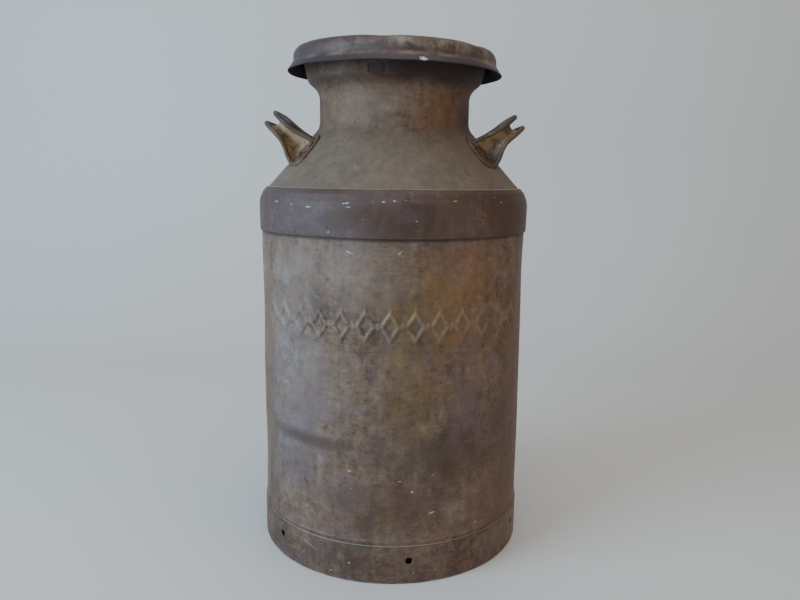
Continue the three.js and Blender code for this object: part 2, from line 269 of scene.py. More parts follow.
def close_ends(made):
    """Fills the open ends of a bent bar, and turns every face outwards."""
    bmesh.ops.holes_fill(made, edges=[e for e in made.edges if e.is_boundary], sides=0)
    bmesh.ops.triangulate(made, faces=[f for f in made.faces if len(f.verts) > 4])
    bmesh.ops.recalc_face_normals(made, faces=made.faces)


def new_object(name, points, faces, **marks):
    """A smooth mesh object. Each mark is a list of values, one for each point, for its finish."""
    mesh = bpy.data.meshes.new(name)
    mesh.from_pydata(np.asarray(points).tolist(), [], np.asarray(faces).tolist())
    for key, values in marks.items():
        mark(mesh, key, values)
    with opened(mesh) as made:
        bmesh.ops.remove_doubles(made, verts=made.verts, dist=1e-6)
    mesh.shade_smooth()
    piece = bpy.data.objects.new(name, mesh)
    bpy.context.scene.collection.objects.link(piece)
    return piece


def grid_faces(rows, columns, wrap_rows=True):
    """Quads between rows of points that each close on themselves."""
    i, j = np.meshgrid(np.arange(rows if wrap_rows else rows - 1), np.arange(columns), indexing="ij")
    a, b = i * columns, (i + 1) % rows * columns
    k = (j + 1) % columns
    return np.stack([a + j, b + j, b + k, a + k], axis=-1).reshape(-1, 4)


def turned(name, outline, turns, *shapes):
    """An outline turned about the can's axis, then moved by each of the shape functions."""
    outline = np.array(outline)
    x, y = outline.T[:2]
    if x @ np.roll(y, -1) < y @ np.roll(x, -1):
        outline = outline[::-1]
    radius, height = outline.T[:2]
    points = np.stack([
        np.sin(turns)[:, None] * radius,
        -np.cos(turns)[:, None] * radius,
        np.broadcast_to(height, (len(turns), len(height))),
    ], axis=-1).reshape(-1, 3)
    for shape in shapes:
        points = shape(points)
    marks = {"inside": np.tile(outline[:, 2], len(turns))} if outline.shape[1] == 3 else {}
    return new_object(name, points, grid_faces(len(turns), len(outline)), **marks)


def polar(points):
    """Radius, turn from the front and height of points."""
    return np.hypot(points[:, 0], points[:, 1]), np.arctan2(points[:, 0], -points[:, 1]), points[:, 2]


def pushed_out(points, distance):
    """Points moved away from the can's axis."""
    radius = polar(points)[0]
    grow = 1 + np.where(radius > 1e-6, distance, 0) / np.maximum(radius, 1e-6)
    return points * np.stack([grow, grow, np.ones_like(grow)], axis=-1)


def bumps(points, scale, seed=0.0):
    """Smooth noise from about -1 to 1 at each point."""
    shift = Vector((seed, seed * 1.7, seed * 0.6))
    return np.array([noise.noise(Vector(p) * scale + shift) for p in points])


def resolved(piece, *modifiers):
    """The piece with modifiers, each a kind and its settings, worked into its mesh."""
    for kind, settings in modifiers:
        modifier = piece.modifiers.new(kind.lower(), kind)
        for key, value in settings.items():
            setattr(modifier, key, value)
    graph = bpy.context.evaluated_depsgraph_get()
    mesh = bpy.data.meshes.new_from_object(piece.evaluated_get(graph))
    piece.modifiers.clear()
    piece.data = mesh
    mesh.shade_smooth()
    return piece


def without(piece, *tools):
    """The piece with the tools cut out of it. The tools are used up."""
    cuts = [("BOOLEAN", {"operation": "DIFFERENCE", "solver": "EXACT", "object": t}) for t in tools]
    resolved(piece, *cuts)
    for tool in tools:
        bpy.data.objects.remove(tool)
    return piece


# ---- How the old sheet has moved ----------------------------------------------------------

# Larger knocks in the body: turn from the front, height, reach and depth.
KNOCKS = [
    (-70, 0.118, 0.035, 1.6 * MM),
    (-84, 0.3, 0.05, 1.2 * MM),
    (38, 0.2, 0.03, 0.9 * MM),
    (-18, 0.115, 0.022, 0.8 * MM),
    (79, 0.355, 0.04, 1.3 * MM),
    (140, 0.24, 0.045, 2.2 * MM),
    (-150, 0.15, 0.05, 1.8 * MM),
]
COVER_LEAN = 0.0145  # fall of the cover towards +X


def out_of_round(points):
    """Every piece of the body strays from true round together, and so no two of them cross."""
    _, turn, height = polar(points)
    round_ = MilkCan.sizes().body_radius
    on_body = np.stack([round_ * np.sin(turn), -round_ * np.cos(turn), height], axis=-1)
    deep = MilkCan.sizes().dent_depth
    move = deep * bumps(on_body, 5.5, 3.1) + 0.2 * deep * bumps(on_body, 23, 8.4)
    for degrees, level, reach, depth in KNOCKS:
        across = round_ * (np.mod(turn - math.radians(degrees) + math.pi, 2 * math.pi) - math.pi)
        move -= depth * np.exp(-(across**2 + (height - level) ** 2) / reach**2)
    return pushed_out(points, move * (1 - ease(height, 0.437, 0.462)))


def crown_dented(points):
    """Three knocks on the crown, which have pressed the mouth's edge down with it."""
    _, turn, height = polar(points)
    drop = np.zeros(len(points))
    for degrees, reach, depth in ((-6, 7, 1.1 * MM), (52, 8, 1.3 * MM), (-150, 12, 1.6 * MM)):
        drop += depth * np.exp(-(((turn - math.radians(degrees)) / math.radians(reach)) ** 2))
    return points - np.outer(drop * ease(height, 0.603, 0.611), (0, 0, 1))


def leaning(points):
    """The cover has settled lower towards +X, and the mouth under it with it."""
    fade = ease(points[:, 2], 0.566, 0.596)
    return points - np.outer(points[:, 0] * COVER_LEAN * fade, (0, 0, 1))


def cover_settled(points):
    """The whole cover leans, and its thin skirt and lip wave a little."""
    radius = polar(points)[0]
    wave = 0.9 * MM * bumps(points, 19, 5.2) * ease(radius, 0.1185, 0.128)
    fall = wave - points[:, 0] * COVER_LEAN
    knocked = pushed_out(points, 0.8 * MM * bumps(points, 14, 1.3) * ease(radius, 0.119, 0.1235))
    return knocked + np.outer(fall, (0, 0, 1))


def cover_leaning(points):
    """The lean alone, for the pieces inside the cover."""
    return points - np.outer(points[:, 0] * COVER_LEAN, (0, 0, 1))


# ---- Shader effects -----------------------------------------------------------------------


class Wiring:
    """Adds nodes to one tree. A value given to a node is a plain value or another node's output."""

    def __init__(self, tree):
        self.tree = tree

    def give(self, socket, value):
        if isinstance(value, bpy.types.NodeSocket):
            self.tree.links.new(value, socket)
        else:
            socket.default_value = value

    def add(self, kind, values=(), **settings):
        node = self.tree.nodes.new(kind)
        for key, value in settings.items():
            setattr(node, key, value)
        for key, value in dict(values).items():
            self.give(node.inputs[key], value)
        return node

    def math(self, operation, a, b=0.0):
        return self.add("ShaderNodeMath", {0: a, 1: b}, operation=operation).outputs[0]

    def times(self, *values):
        out = values[0]
        for value in values[1:]:
            out = self.math("MULTIPLY", out, value)
        return out

    def plus(self, *values):
        out = values[0]
        for value in values[1:]:
            out = self.math("ADD", out, value)
        return out

    def either(self, a, b):
        return self.math("MAXIMUM", a, b)

    def rest(self, value):
        """One less the value."""
        return self.math("SUBTRACT", 1.0, value)

    def ease(self, value, low, high):
        node = self.add(
            "ShaderNodeMapRange",
            {"Value": value, "From Min": low, "From Max": high},
            interpolation_type="SMOOTHSTEP",
        )
        return node.outputs["Result"]

    def blend(self, share, a, b):
        """Colour a, with its share of colour b."""
        return self.add("ShaderNodeMix", {0: share, 6: a, 7: b}, data_type="RGBA").outputs[2]

    def place(self, stretch=(1, 1, 1), shift=(0, 0, 0)):
        """Where the surface is on the can, with its axes stretched and shifted."""
        where = self.add("ShaderNodeTexCoord").outputs["Object"]
        if tuple(stretch) == (1, 1, 1) and tuple(shift) == (0, 0, 0):
            return where
        node = self.add(
            "ShaderNodeVectorMath", {0: where, 1: stretch, 2: shift}, operation="MULTIPLY_ADD"
        )
        return node.outputs[0]

    def noise(self, where, scale, detail=4.0, roughness=0.6, distortion=0.0):
        node = self.add("ShaderNodeTexNoise", {
            "Vector": where, "Scale": scale, "Detail": detail, "Roughness": roughness,
            "Distortion": distortion,
        })
        return node.outputs["Fac"]

    def unrolled(self):
        """Distance around the can's front and height above its foot, as a flat place."""
        return self.effect(unrolled_place())["Place"]

    def effect(self, tree, values=()):
        node = self.add("ShaderNodeGroup", node_tree=tree)
        for key, value in dict(values).items():
            self.give(node.inputs[key], value)
        return node.outputs


COLOUR, NUMBER, VECTOR = "NodeSocketColor", "NodeSocketFloat", "NodeSocketVector"


def effect_group(name, inputs, outputs, fill):
    """A shader effect as a node group, made the first time that a material asks for it."""
    tree = bpy.data.node_groups.get(name)
    if tree is None:
        tree = bpy.data.node_groups.new(name, "ShaderNodeTree")
        for label, kind, default in inputs:
            tree.interface.new_socket(label, in_out="INPUT", socket_type=kind).default_value = default
        for label, kind in outputs:
            tree.interface.new_socket(label, in_out="OUTPUT", socket_type=kind)
        wiring = Wiring(tree)
        start, end = wiring.add("NodeGroupInput"), wiring.add("NodeGroupOutput")
        for label, value in fill(wiring, start.outputs).items():
            wiring.give(end.inputs[label], value)
    return tree


def unrolled_place():
    """The can's surface laid flat: how far around from the front, and how high."""

    def fill(w, given):
        x, y, z = w.add("ShaderNodeSeparateXYZ", {0: w.place()}).outputs
        turn = w.math("ARCTAN2", x, w.math("MULTIPLY", y, -1.0))
        around = w.times(turn, MilkCan.sizes().body_radius)
        return {"Place": w.add("ShaderNodeCombineXYZ", {0: around, 1: z}).outputs[0]}

    return effect_group("Unrolled place", [], [("Place", VECTOR)], fill)


def patina():
    """Layered rust: pale, brown and dark tones with ochre blooms, violet oxide and fine grain."""

    def fill(w, given):
        spot = w.place()
        broad = w.noise(spot, 9.0, 3.0, 0.55)
        cloudy = w.noise(w.place(shift=(3.1, 1.7, 0.4)), 34.0, 6.0, 0.62, 0.5)
        mottled = w.noise(spot, 120.0, 6.0, 0.7, 0.3)
        streaked = w.noise(w.place(stretch=(1, 1, 0.16)), 90.0, 5.0, 0.62)
        brushed = w.noise(w.place(stretch=(1, 1, 7)), 70.0, 5.0, 0.7)
        grain = w.noise(spot, 520.0, 4.0, 0.75)
        tone = w.plus(
            w.times(broad, 0.14), w.times(cloudy, 0.2), w.times(mottled, 0.22),
            w.times(streaked, 0.12), w.times(brushed, 0.12), w.times(grain, 0.2), given["Tone"],
        )
        colour_ = w.blend(w.ease(tone, 0.43, 0.505), given["Dark"], given["Brown"])
        colour_ = w.blend(w.ease(tone, 0.495, 0.585), colour_, given["Pale"])
        violet = w.noise(w.place(shift=(7.3, 0.2, 5.5)), 26.0, 5.0, 0.65, 0.8)
        violet = w.times(w.ease(violet, 0.44, 0.66), given["Violet Amount"])
        colour_ = w.blend(violet, colour_, given["Violet"])
        bloom = w.noise(w.place(shift=(1.9, 8.8, 2.6)), 46.0, 7.0, 0.7, 0.9)
        bloom = w.ease(w.plus(w.times(bloom, 0.7), w.times(grain, 0.3)), 0.46, 0.64)
        colour_ = w.blend(w.times(bloom, given["Ochre Amount"]), colour_, given["Ochre"])
        speckle = w.times(w.ease(grain, 0.52, 0.64), 0.55)
        colour_ = w.blend(speckle, colour_, given["Dark"])
        rough = w.plus(0.38, w.times(cloudy, 0.16), w.times(grain, 0.16))
        rough = w.plus(rough, w.times(bloom, given["Ochre Amount"], 0.2))
        height = w.plus(w.times(mottled, 0.5), w.times(grain, 0.5), w.times(brushed, 0.25))
        return {"Color": colour_, "Roughness": rough, "Height": height, "Bloom": bloom}

    white = (1.0, 1.0, 1.0, 1.0)
    return effect_group(
        "Layered patina",
        [
            ("Pale", COLOUR, white), ("Brown", COLOUR, white), ("Dark", COLOUR, white),
            ("Ochre", COLOUR, white), ("Violet", COLOUR, white), ("Tone", NUMBER, 0.0),
            ("Ochre Amount", NUMBER, 0.3), ("Violet Amount", NUMBER, 0.3),
        ],
        [("Color", COLOUR), ("Roughness", NUMBER), ("Height", NUMBER), ("Bloom", NUMBER)],
        fill,
    )


def pits():
    """Rust pits of mixed sizes with soft ragged edges."""

    def fill(w, given):
        spot = w.place()
        cells = w.add("ShaderNodeTexVoronoi", {"Vector": spot, "Scale": given["Scale"]})
        chance = w.add("ShaderNodeSeparateColor", {0: cells.outputs["Color"]}).outputs
        ragged = w.noise(spot, 420.0, 5.0, 0.75)
        near = w.plus(cells.outputs["Distance"], w.times(ragged, 0.7), w.times(chance[2], 0.25))
        picked = w.ease(w.plus(chance[0], given["Amount"]), 0.9, 1.05)
        return {"Mask": w.times(w.rest(w.ease(near, 0.42, 0.72)), picked)}

    return effect_group(
        "Rust pits",
        [("Scale", NUMBER, 160.0), ("Amount", NUMBER, 0.2)],
        [("Mask", NUMBER)],
        fill,
    )


def scrapes():
    """Short bright scrapes, mostly level, that show bare metal."""

    def fill(w, given):
        stretched = w.place(stretch=(1, 1, 3.4))
        cells = w.add("ShaderNodeTexVoronoi", {"Vector": stretched, "Scale": given["Scale"]})
        chance = w.add("ShaderNodeSeparateColor", {0: cells.outputs["Color"]}).outputs[1]
        ragged = w.noise(stretched, 330.0, 5.0, 0.75)
        near = w.plus(cells.outputs["Distance"], w.times(ragged, 0.5))
        picked = w.ease(w.plus(chance, given["Amount"]), 0.97, 1.0)
        return {"Mask": w.times(w.rest(w.ease(near, 0.3, 0.42)), picked)}

    return effect_group(
        "Bright scrapes",
        [("Scale", NUMBER, 70.0), ("Amount", NUMBER, 0.05)],
        [("Mask", NUMBER)],
        fill,
    )


def level_band():
    """A ragged level stripe around the can, at one height."""

    def fill(w, given):
        x, _, height = w.add("ShaderNodeSeparateXYZ", {0: w.place()}).outputs
        ragged = w.math("SUBTRACT", w.noise(w.place(), 45.0, 5.0, 0.7), 0.5)
        height = w.plus(height, w.times(x, given["Lean"]), w.times(ragged, given["Ragged"]))
        away = w.math("ABSOLUTE", w.math("SUBTRACT", height, given["Height"]))
        return {"Mask": w.rest(w.ease(away, w.times(given["Reach"], 0.25), given["Reach"]))}

    return effect_group(
        "Level band",
        [
            ("Height", NUMBER, 0.1), ("Reach", NUMBER, 0.01), ("Ragged", NUMBER, 0.0),
            ("Lean", NUMBER, 0.0),
        ],
        [("Mask", NUMBER)],
        fill,
    )


def soft_patch():
    """A patch with ragged edges about one place on the unrolled can."""

    def fill(w, given):
        gap = w.add("ShaderNodeVectorMath", {0: w.unrolled(), 1: given["Middle"]}, operation="SUBTRACT")
        gap = w.add("ShaderNodeVectorMath", {0: gap.outputs[0], 1: given["Size"]}, operation="DIVIDE")
        away = w.add("ShaderNodeVectorMath", {0: gap.outputs[0]}, operation="LENGTH").outputs["Value"]
        ragged = w.noise(w.place(), 24.0, 7.0, 0.68, 0.6)
        away = w.plus(away, w.times(w.math("SUBTRACT", ragged, 0.5), 1.5))
        return {"Mask": w.rest(w.ease(away, 0.15, 1.0))}

    return effect_group(
        "Soft patch",
        [("Middle", VECTOR, (0.0, 0.0, 0.0)), ("Size", VECTOR, (0.1, 0.1, 1.0))],
        [("Mask", NUMBER)],
        fill,
    )


def scratch_line():
    """One straight scratch on the unrolled can, from its middle and half its run."""

    def fill(w, given):
        gap = w.add("ShaderNodeVectorMath", {0: w.unrolled(), 1: given["Middle"]}, operation="SUBTRACT")
        gap, half = gap.outputs[0], given["Half"]
        along = w.add("ShaderNodeVectorMath", {0: gap, 1: half}, operation="DOT_PRODUCT")
        whole = w.add("ShaderNodeVectorMath", {0: half, 1: half}, operation="DOT_PRODUCT")
        share_ = w.math("DIVIDE", along.outputs["Value"], whole.outputs["Value"])
        share_ = w.math("MINIMUM", w.either(share_, -1.0), 1.0)
        near = w.add("ShaderNodeVectorMath", {0: half, "Scale": share_}, operation="SCALE")
        away = w.add("ShaderNodeVectorMath", {0: gap, 1: near.outputs[0]}, operation="DISTANCE")
        ragged = w.math("SUBTRACT", w.noise(w.place(), 420.0, 5.0, 0.8), 0.5)
        away = w.math("DIVIDE", away.outputs["Value"], given["Width"])
        away = w.plus(away, w.times(share_, share_, 0.45), w.times(ragged, 3.2))
        return {"Mask": w.rest(w.ease(away, 0.1, 1.05))}

    return effect_group(
        "Scratch line",
        [
            ("Middle", VECTOR, (0.0, 0.0, 0.0)), ("Half", VECTOR, (0.001, 0.0, 0.0)),
            ("Width", NUMBER, 0.001),
        ],
        [("Mask", NUMBER)],
        fill,
    )


# ---- Materials ----------------------------------------------------------------------------


def rgba(value):
    """The colour with full cover."""
    return (*value, 1.0)


# Marks on the can: turn from the front in degrees, then millimetres of height, run, rise and width.
BODY_SCRATCHES = [
    (-16, 134, 2, 0.5, 1), (4, 125, 2, 0, 1), (9, 112, 1.5, -0.5, 1.5), (17, 85, 4.5, 1, 1.2),
    (38, 60, 2, 1, 1), (-36, 80, 1, 0, 1), (-16, 381, 5, -2, 0.9), (3, 381, 2, 2, 0.8),
]
BREAST_HOOP_SCRATCHES = [
    (-52, 432, 4, 0, 0.9), (-42, 430, 1.5, 0, 0.8), (-33, 428, 3.5, 0, 1), (-24, 402, 1, 0.5, 0.9),
    (-17, 433, 4.5, 0.5, 0.9), (-16, 429, 3, 0, 0.7), (-3, 435, 1.5, 0, 1.2), (1, 436, 2, 0, 1),
    (9, 415, 1, 0, 0.8), (24, 436, 3, 0, 0.7), (47, 434, 2, 0, 0.8),
]
FOOT_HOOP_SCRATCHES = [
    (-16, 23, 0.8, 0, 1.2), (10, 14, 0.8, 0, 0.9), (19, 14.5, 1, 0, 1.1), (-24, 9, 1, 0, 1),
]
# Colour patches: turn, then millimetres of height, half width and half height, and strength.
BODY_PALE = [(-14, 358, 56, 40, 0.35), (-44, 350, 44, 60, 0.4), (-36, 240, 40, 70, 0.3)]
BODY_OCHRE = [
    (17, 322, 66, 44, 0.72), (8, 248, 42, 56, 0.5), (10, 195, 26, 42, 0.4), (48, 300, 34, 40, 0.3),
]
BODY_ORANGE = [(30, 362, 52, 34, 0.62), (25, 294, 30, 16, 0.5), (-60, 300, 20, 60, 0.35)]
BODY_DARK = [
    (-34, 163, 66, 9, 0.8), (14, 148, 84, 32, 0.65), (56, 165, 44, 70, 0.3), (2, 100, 80, 30, 0.3),
    (4, 210, 50, 30, 0.25),
]
BODY_UMBER = [
    (62, 90, 90, 80, 0.85), (70, 230, 60, 120, 0.6), (0, 90, 90, 40, 0.35), (-64, 200, 24, 140, 0.4),
]
BODY_VIOLET = [(-34, 205, 34, 46, 0.5), (-40, 128, 34, 34, 0.45), (33, 200, 40, 44, 0.3)]


def patched(w, colour_, patches, tint, break_up=None):
    """The colour with tinted patches on it, broken up by another mask where one is given."""
    for turn, height, wide, tall, strength in patches:
        mask = w.effect(soft_patch(), {
            "Middle": (math.radians(turn) * MilkCan.sizes().body_radius, height * MM, 0),
            "Size": (wide * MM * 1.35, tall * MM * 1.35, 1),
        })["Mask"]
        mask = w.times(mask, strength)
        if break_up:
            mask = w.times(mask, break_up)
        colour_ = w.blend(mask, colour_, rgba(tint))
    return colour_


def scratched(w, marks):
    """One mask of all the scratches in a list."""
    mask = None
    for turn, height, run, rise, width in marks:
        one = w.effect(scratch_line(), {
            "Middle": (math.radians(turn) * MilkCan.sizes().body_radius, height * MM, 0),
            "Half": (0.85 * run * MM, 0.85 * rise * MM, 0),
            "Width": 0.95 * width * MM,
        })["Mask"]
        mask = one if mask is None else w.either(mask, one)
    return mask


def metal(name, tone=0.0, ochre=0.3, violet=0.3, bump=0.22, pit=0.16, shade=0.72, marks=None):
    """A rusted steel finish, with painted shade on its inside faces. marks adds a piece's own colour,
    wear and painted light to it.
    """
    made = bpy.data.materials.get(name)
    if made:
        return made
    made = bpy.data.materials.new(name)
    made.use_nodes = True
    w = Wiring(made.node_tree)
    shader = made.node_tree.nodes["Principled BSDF"]
    finish = MilkCan.finish()
    skin = w.effect(patina(), {
        "Pale": rgba(finish.pale), "Brown": rgba(finish.brown), "Dark": rgba(finish.dark),
        "Ochre": rgba(finish.ochre), "Violet": rgba(finish.violet),
        "Tone": tone, "Ochre Amount": ochre, "Violet Amount": violet,
    })
    colour_, rough, bloom = skin["Color"], skin["Roughness"], skin["Bloom"]
    if marks:
        colour_, rough = marks(w, colour_, rough, bloom, finish)
    pitted = w.effect(pits(), {"Amount": pit})["Mask"]
    inside = w.add("ShaderNodeAttribute", attribute_name="inside").outputs["Fac"]
    # Soot colour in the rust pits, and painted shade on the inside face of each sheet.
    pits_and_shade = w.either(w.times(pitted, 0.5), w.times(inside, shade))
    w.give(shader.inputs["Base Color"], w.blend(pits_and_shade, colour_, rgba(finish.soot_and_shade)))
    w.give(shader.inputs["Roughness"], w.plus(rough, w.times(pitted, 0.2), w.times(inside, 0.4)))
    shader.inputs["Metallic"].default_value = 0.2
    relief = w.add("ShaderNodeBump", {
        "Strength": bump, "Distance": 1.2 * MM,
        "Height": w.plus(skin["Height"], w.times(pitted, -0.7)),
    })
    w.give(shader.inputs["Normal"], relief.outputs["Normal"])
    return made


def scraped(w, colour_, rough, finish, mask):
    """Colour and roughness with bare metal where the mask is."""
    return w.blend(mask, colour_, rgba(finish.bare)), w.plus(rough, w.times(mask, -0.15))


def body_marks(w, colour_, rough, bloom, finish):
    """Pale, ochre, orange, violet and dark patches, a painted sheen where the sheet faces the window,
    and painted shade under the breast hoop.
    """
    ragged = w.plus(0.35, w.times(bloom, 0.65))
    colour_ = patched(w, colour_, BODY_PALE, finish.pale)
    # A painted sheen on the left, where the sheet faces the window light.
    colour_ = patched(w, colour_, [(-50, 240, 54, 150, 0.55)], finish.painted_window_sheen, ragged)
    colour_ = patched(w, colour_, BODY_VIOLET, finish.violet)
    colour_ = patched(w, colour_, BODY_OCHRE, finish.ochre, ragged)
    colour_ = patched(w, colour_, BODY_ORANGE, finish.orange, ragged)
    colour_ = patched(w, colour_, BODY_UMBER, finish.umber)
    colour_ = patched(w, colour_, BODY_DARK, finish.dark)
    # The raised ornaments made paler: rubbed wear, and a painted highlight where the strokes catch the
    # light.
    raised = w.add("ShaderNodeAttribute", attribute_name="raised").outputs["Fac"]
    rubbed_and_lit = w.ease(w.noise(w.place(), 70.0, 5.0, 0.7), 0.36, 0.6)
    colour_ = w.blend(w.times(raised, rubbed_and_lit, 0.3), colour_, rgba((0.32, 0.265, 0.215)))
    # Painted shade: a dark band just under the breast hoop's lower edge.
    under = w.effect(level_band(), {"Height": BAND[0].z, "Reach": 5 * MM, "Ragged": 0.004})["Mask"]
    colour_ = w.blend(w.times(under, 0.7), colour_, rgba(finish.soot_and_shade))
    small = w.times(w.effect(scrapes(), {"Amount": 0.02})["Mask"], 0.5)
    mask = w.either(small, scratched(w, BODY_SCRATCHES))
    return scraped(w, colour_, rough, finish, w.times(mask, 0.85))


def breast_hoop_marks(w, colour_, rough, bloom, finish):
    """Violet on the left, darker rust on the right and worn spots along the turned-in edge."""
    colour_ = patched(w, colour_, [(-48, 418, 60, 40, 0.4)], finish.violet)
    ragged = w.plus(0.25, w.times(bloom, 1.1))
    colour_ = patched(w, colour_, [(12, 415, 90, 60, 0.4)], finish.umber, ragged)
    ragged = w.plus(0.5, w.times(bloom, 0.6))
    colour_ = patched(w, colour_, [(58, 415, 80, 60, 0.9)], (0.08, 0.036, 0.018), ragged)
    top = w.effect(level_band(), {"Height": 0.436, "Reach": 12 * MM, "Ragged": 0.01})["Mask"]
    fine = w.times(w.effect(scrapes(), {"Scale": 85.0, "Amount": 0.08})["Mask"], top, 0.5)
    mask = w.either(fine, scratched(w, BREAST_HOOP_SCRATCHES))
    return scraped(w, colour_, rough, finish, w.times(mask, 0.8))


def foot_hoop_marks(w, colour_, rough, bloom, finish):
    """The weld, a few specks and a rubbed lower edge."""
    ragged = w.plus(0.25, w.times(bloom, 1.1))
    colour_ = patched(w, colour_, [(20, 24, 150, 50, 0.45)], finish.umber, ragged)
    rim = w.effect(level_band(), {"Height": 0.0, "Reach": 3 * MM, "Ragged": 0.003})["Mask"]
    rim = w.times(rim, w.ease(w.noise(w.place(), 38.0, 5.0, 0.7), 0.42, 0.6), 0.5)
    weld = w.times(scratched(w, [(-35.1, 34.6, 16, -6.8, 0.9)]), 0.4)
    specks = w.either(scratched(w, FOOT_HOOP_SCRATCHES), w.either(rim, weld))
    return scraped(w, colour_, rough, finish, w.times(specks, 0.8))


def breast_marks(w, colour_, rough, bloom, finish):
    """Painted shade under the cover, orange on the neck's right, and an olive-grey bloom on the cone.
    """
    rough = w.plus(rough, 0.13)
    side, _, height = w.add("ShaderNodeSeparateXYZ", {0: w.place()}).outputs
    # Painted shade on the flare under the cover's lip.
    shade = w.ease(w.plus(height, w.times(w.noise(w.place(), 30.0, 5.0, 0.7), 0.016)), 0.562, 0.586)
    olive = w.times(w.rest(w.ease(height, 0.49, 0.53)), 0.55)
    colour_ = w.blend(olive, colour_, rgba((0.18, 0.148, 0.108)))
    ragged = w.plus(0.4, w.times(bloom, 0.6))
    colour_ = patched(w, colour_, [(-30, 535, 110, 34, 0.5), (52, 500, 60, 40, 0.35)], finish.brown)
    colour_ = patched(w, colour_, [(26, 535, 60, 30, 0.65)], finish.orange, ragged)
    colour_ = patched(w, colour_, [(75, 535, 60, 60, 0.55)], finish.dark)
    # The painted shade is lighter on the left, where the window light falls.
    shade = w.times(shade, w.plus(0.58, w.times(w.ease(side, -0.05, 0.03), 0.3)))
    colour_ = w.blend(shade, colour_, rgba((0.024, 0.011, 0.008)))
    # A painted shadow right under the lip, towards the right.
    colour_ = patched(w, colour_, [(40, 582, 130, 16, 0.75)], finish.soot_and_shade)
    # The press mark painted dark with the soot colour: painted shade in its recess, and the dark beside
    # it.
    beside = w.times(scratched(w, [(-6, 579, 4, 0, 6)]), 0.9)
    pressed = w.either(scratched(w, [(-12, 578.6, 5.5, 0, 6)]), beside)
    colour_ = w.blend(w.times(pressed, 0.9), colour_, rgba(finish.soot_and_shade))
    mask = scratched(w, [(-17, 470, 0.8, 0.0, 1.1), (34, 488, 0.6, 0.0, 0.9)])
    return scraped(w, colour_, rough, finish, w.times(mask, 0.8))


def cover_marks(w, colour_, rough, bloom, finish):
    """Olive-grey worn patches high on the skirt, a painted highlight along the crease, a navy lower
    half deepened by painted shade, and one bare bruise painted bright as a glint.
    """
    # Navy oxide low on the skirt, deepened as painted shade where the lip faces down.
    low = w.effect(level_band(), {
        "Height": 0.582, "Reach": 11 * MM, "Ragged": 0.003, "Lean": COVER_LEAN})["Mask"]
    # A painted highlight along the lip's crease, broken into patches.
    crease_highlight = w.effect(level_band(), {
        "Height": 0.5915, "Reach": 3 * MM, "Ragged": 0.002, "Lean": COVER_LEAN})["Mask"]
    colour_ = patched(w, colour_, [(-70, 600, 110, 24, 0.95)], (0.07, 0.045, 0.052))
    colour_ = w.blend(w.times(low, 0.85), colour_, rgba((0.04, 0.027, 0.036)))
    patchy = w.ease(w.noise(w.place(shift=(5.2, 1.7, 3.1)), 38.0, 6.0, 0.7), 0.4, 0.62)
    colour_ = w.blend(w.times(crease_highlight, patchy, 0.55), colour_, rgba((0.22, 0.19, 0.17)))
    worn = [
        (-20, 605, 30, 6, 0.45), (4, 604, 44, 9, 0.95), (30, 602, 52, 10, 1.0), (60, 599, 46, 12, 1.0),
    ]
    ragged = w.ease(w.noise(w.place(shift=(2.2, 0.7, 9.1)), 60.0, 6.0, 0.7, 0.5), 0.38, 0.62)
    colour_ = patched(w, colour_, worn, (0.245, 0.215, 0.165), ragged)
    colour_ = patched(w, colour_, [(14, 607, 24, 6, 0.6), (66, 603, 24, 11, 0.6)], finish.umber)
    # Bare metal at the bruise, painted as bright as a glint: partly a painted highlight.
    bruise_glint = scratched(w, [(BRUISE_TURN, 585, 5.4, -0.4, 3.4)])
    specks = w.times(w.effect(scrapes(), {"Scale": 90.0, "Amount": 0.02})["Mask"], 0.35)
    return scraped(w, colour_, rough, finish, w.either(specks, bruise_glint))


def handle_marks(w, colour_, rough, bloom, finish):
    """Tan rust in the channel's hollow, made light as painted light; rolled edges darkened as painted
    shade; and darker low on the right handle.
    """
    edge = w.add("ShaderNodeAttribute", attribute_name="edge").outputs["Fac"]
    hollow = w.add("ShaderNodeAttribute", attribute_name="hollow").outputs["Fac"]
    ragged = w.ease(w.noise(w.place(), 60.0, 6.0, 0.7), 0.3, 0.6)
    # Tan rust in the hollow, made light to stand in for light on it: partly painted light.
    colour_ = w.blend(w.times(hollow, w.rest(edge), ragged, 0.95), colour_, rgba(finish.tan))
    side, _, height = w.add("ShaderNodeSeparateXYZ", {0: w.place()}).outputs
    # Darker low on the right handle.
    low = w.rest(w.ease(w.plus(height, w.times(w.noise(w.place(), 50.0, 5.0, 0.7), 0.02)), 0.496, 0.51))
    low = w.times(low, w.ease(side, 0.1, 0.12))
    colour_ = w.blend(w.times(low, 0.85), colour_, rgba((0.085, 0.06, 0.055)))
    tip = w.ease(height, 0.508, 0.528)
    # Painted shade on the rolled edges, darkest at the tips.
    colour_ = w.blend(w.times(edge, 0.7), colour_, rgba((0.11, 0.07, 0.04)))
    edge_shadow = w.times(edge, tip, w.plus(0.6, w.times(bloom, 0.4)))
    colour_ = w.blend(edge_shadow, colour_, rgba((0.045, 0.036, 0.03)))
    worn = w.times(w.ease(edge, 0.9, 1.0), w.ease(w.noise(w.place(), 140.0, 4.0, 0.7), 0.56, 0.66))
    return scraped(w, colour_, rough, finish, w.times(worn, 0.12))


def solder_marks(w, colour_, rough, bloom, finish):
    """Grey solder that shows through the rust on the shoulder, and little at the foot."""
    height = w.add("ShaderNodeSeparateXYZ", {0: w.place()}).outputs[2]
    show = w.ease(w.noise(w.place(shift=(0.5, 3.0, 1.0)), 30.0, 6.0, 0.75), 0.16, 0.5)
    show = w.times(show, w.plus(0.25, w.times(w.ease(height, 0.2, 0.4), 0.7)))
    return w.blend(show, colour_, rgba(finish.lead)), rough


def body_metal():
    return metal("Tinned sheet", tone=-0.008, ochre=0.24, violet=0.36, marks=body_marks)


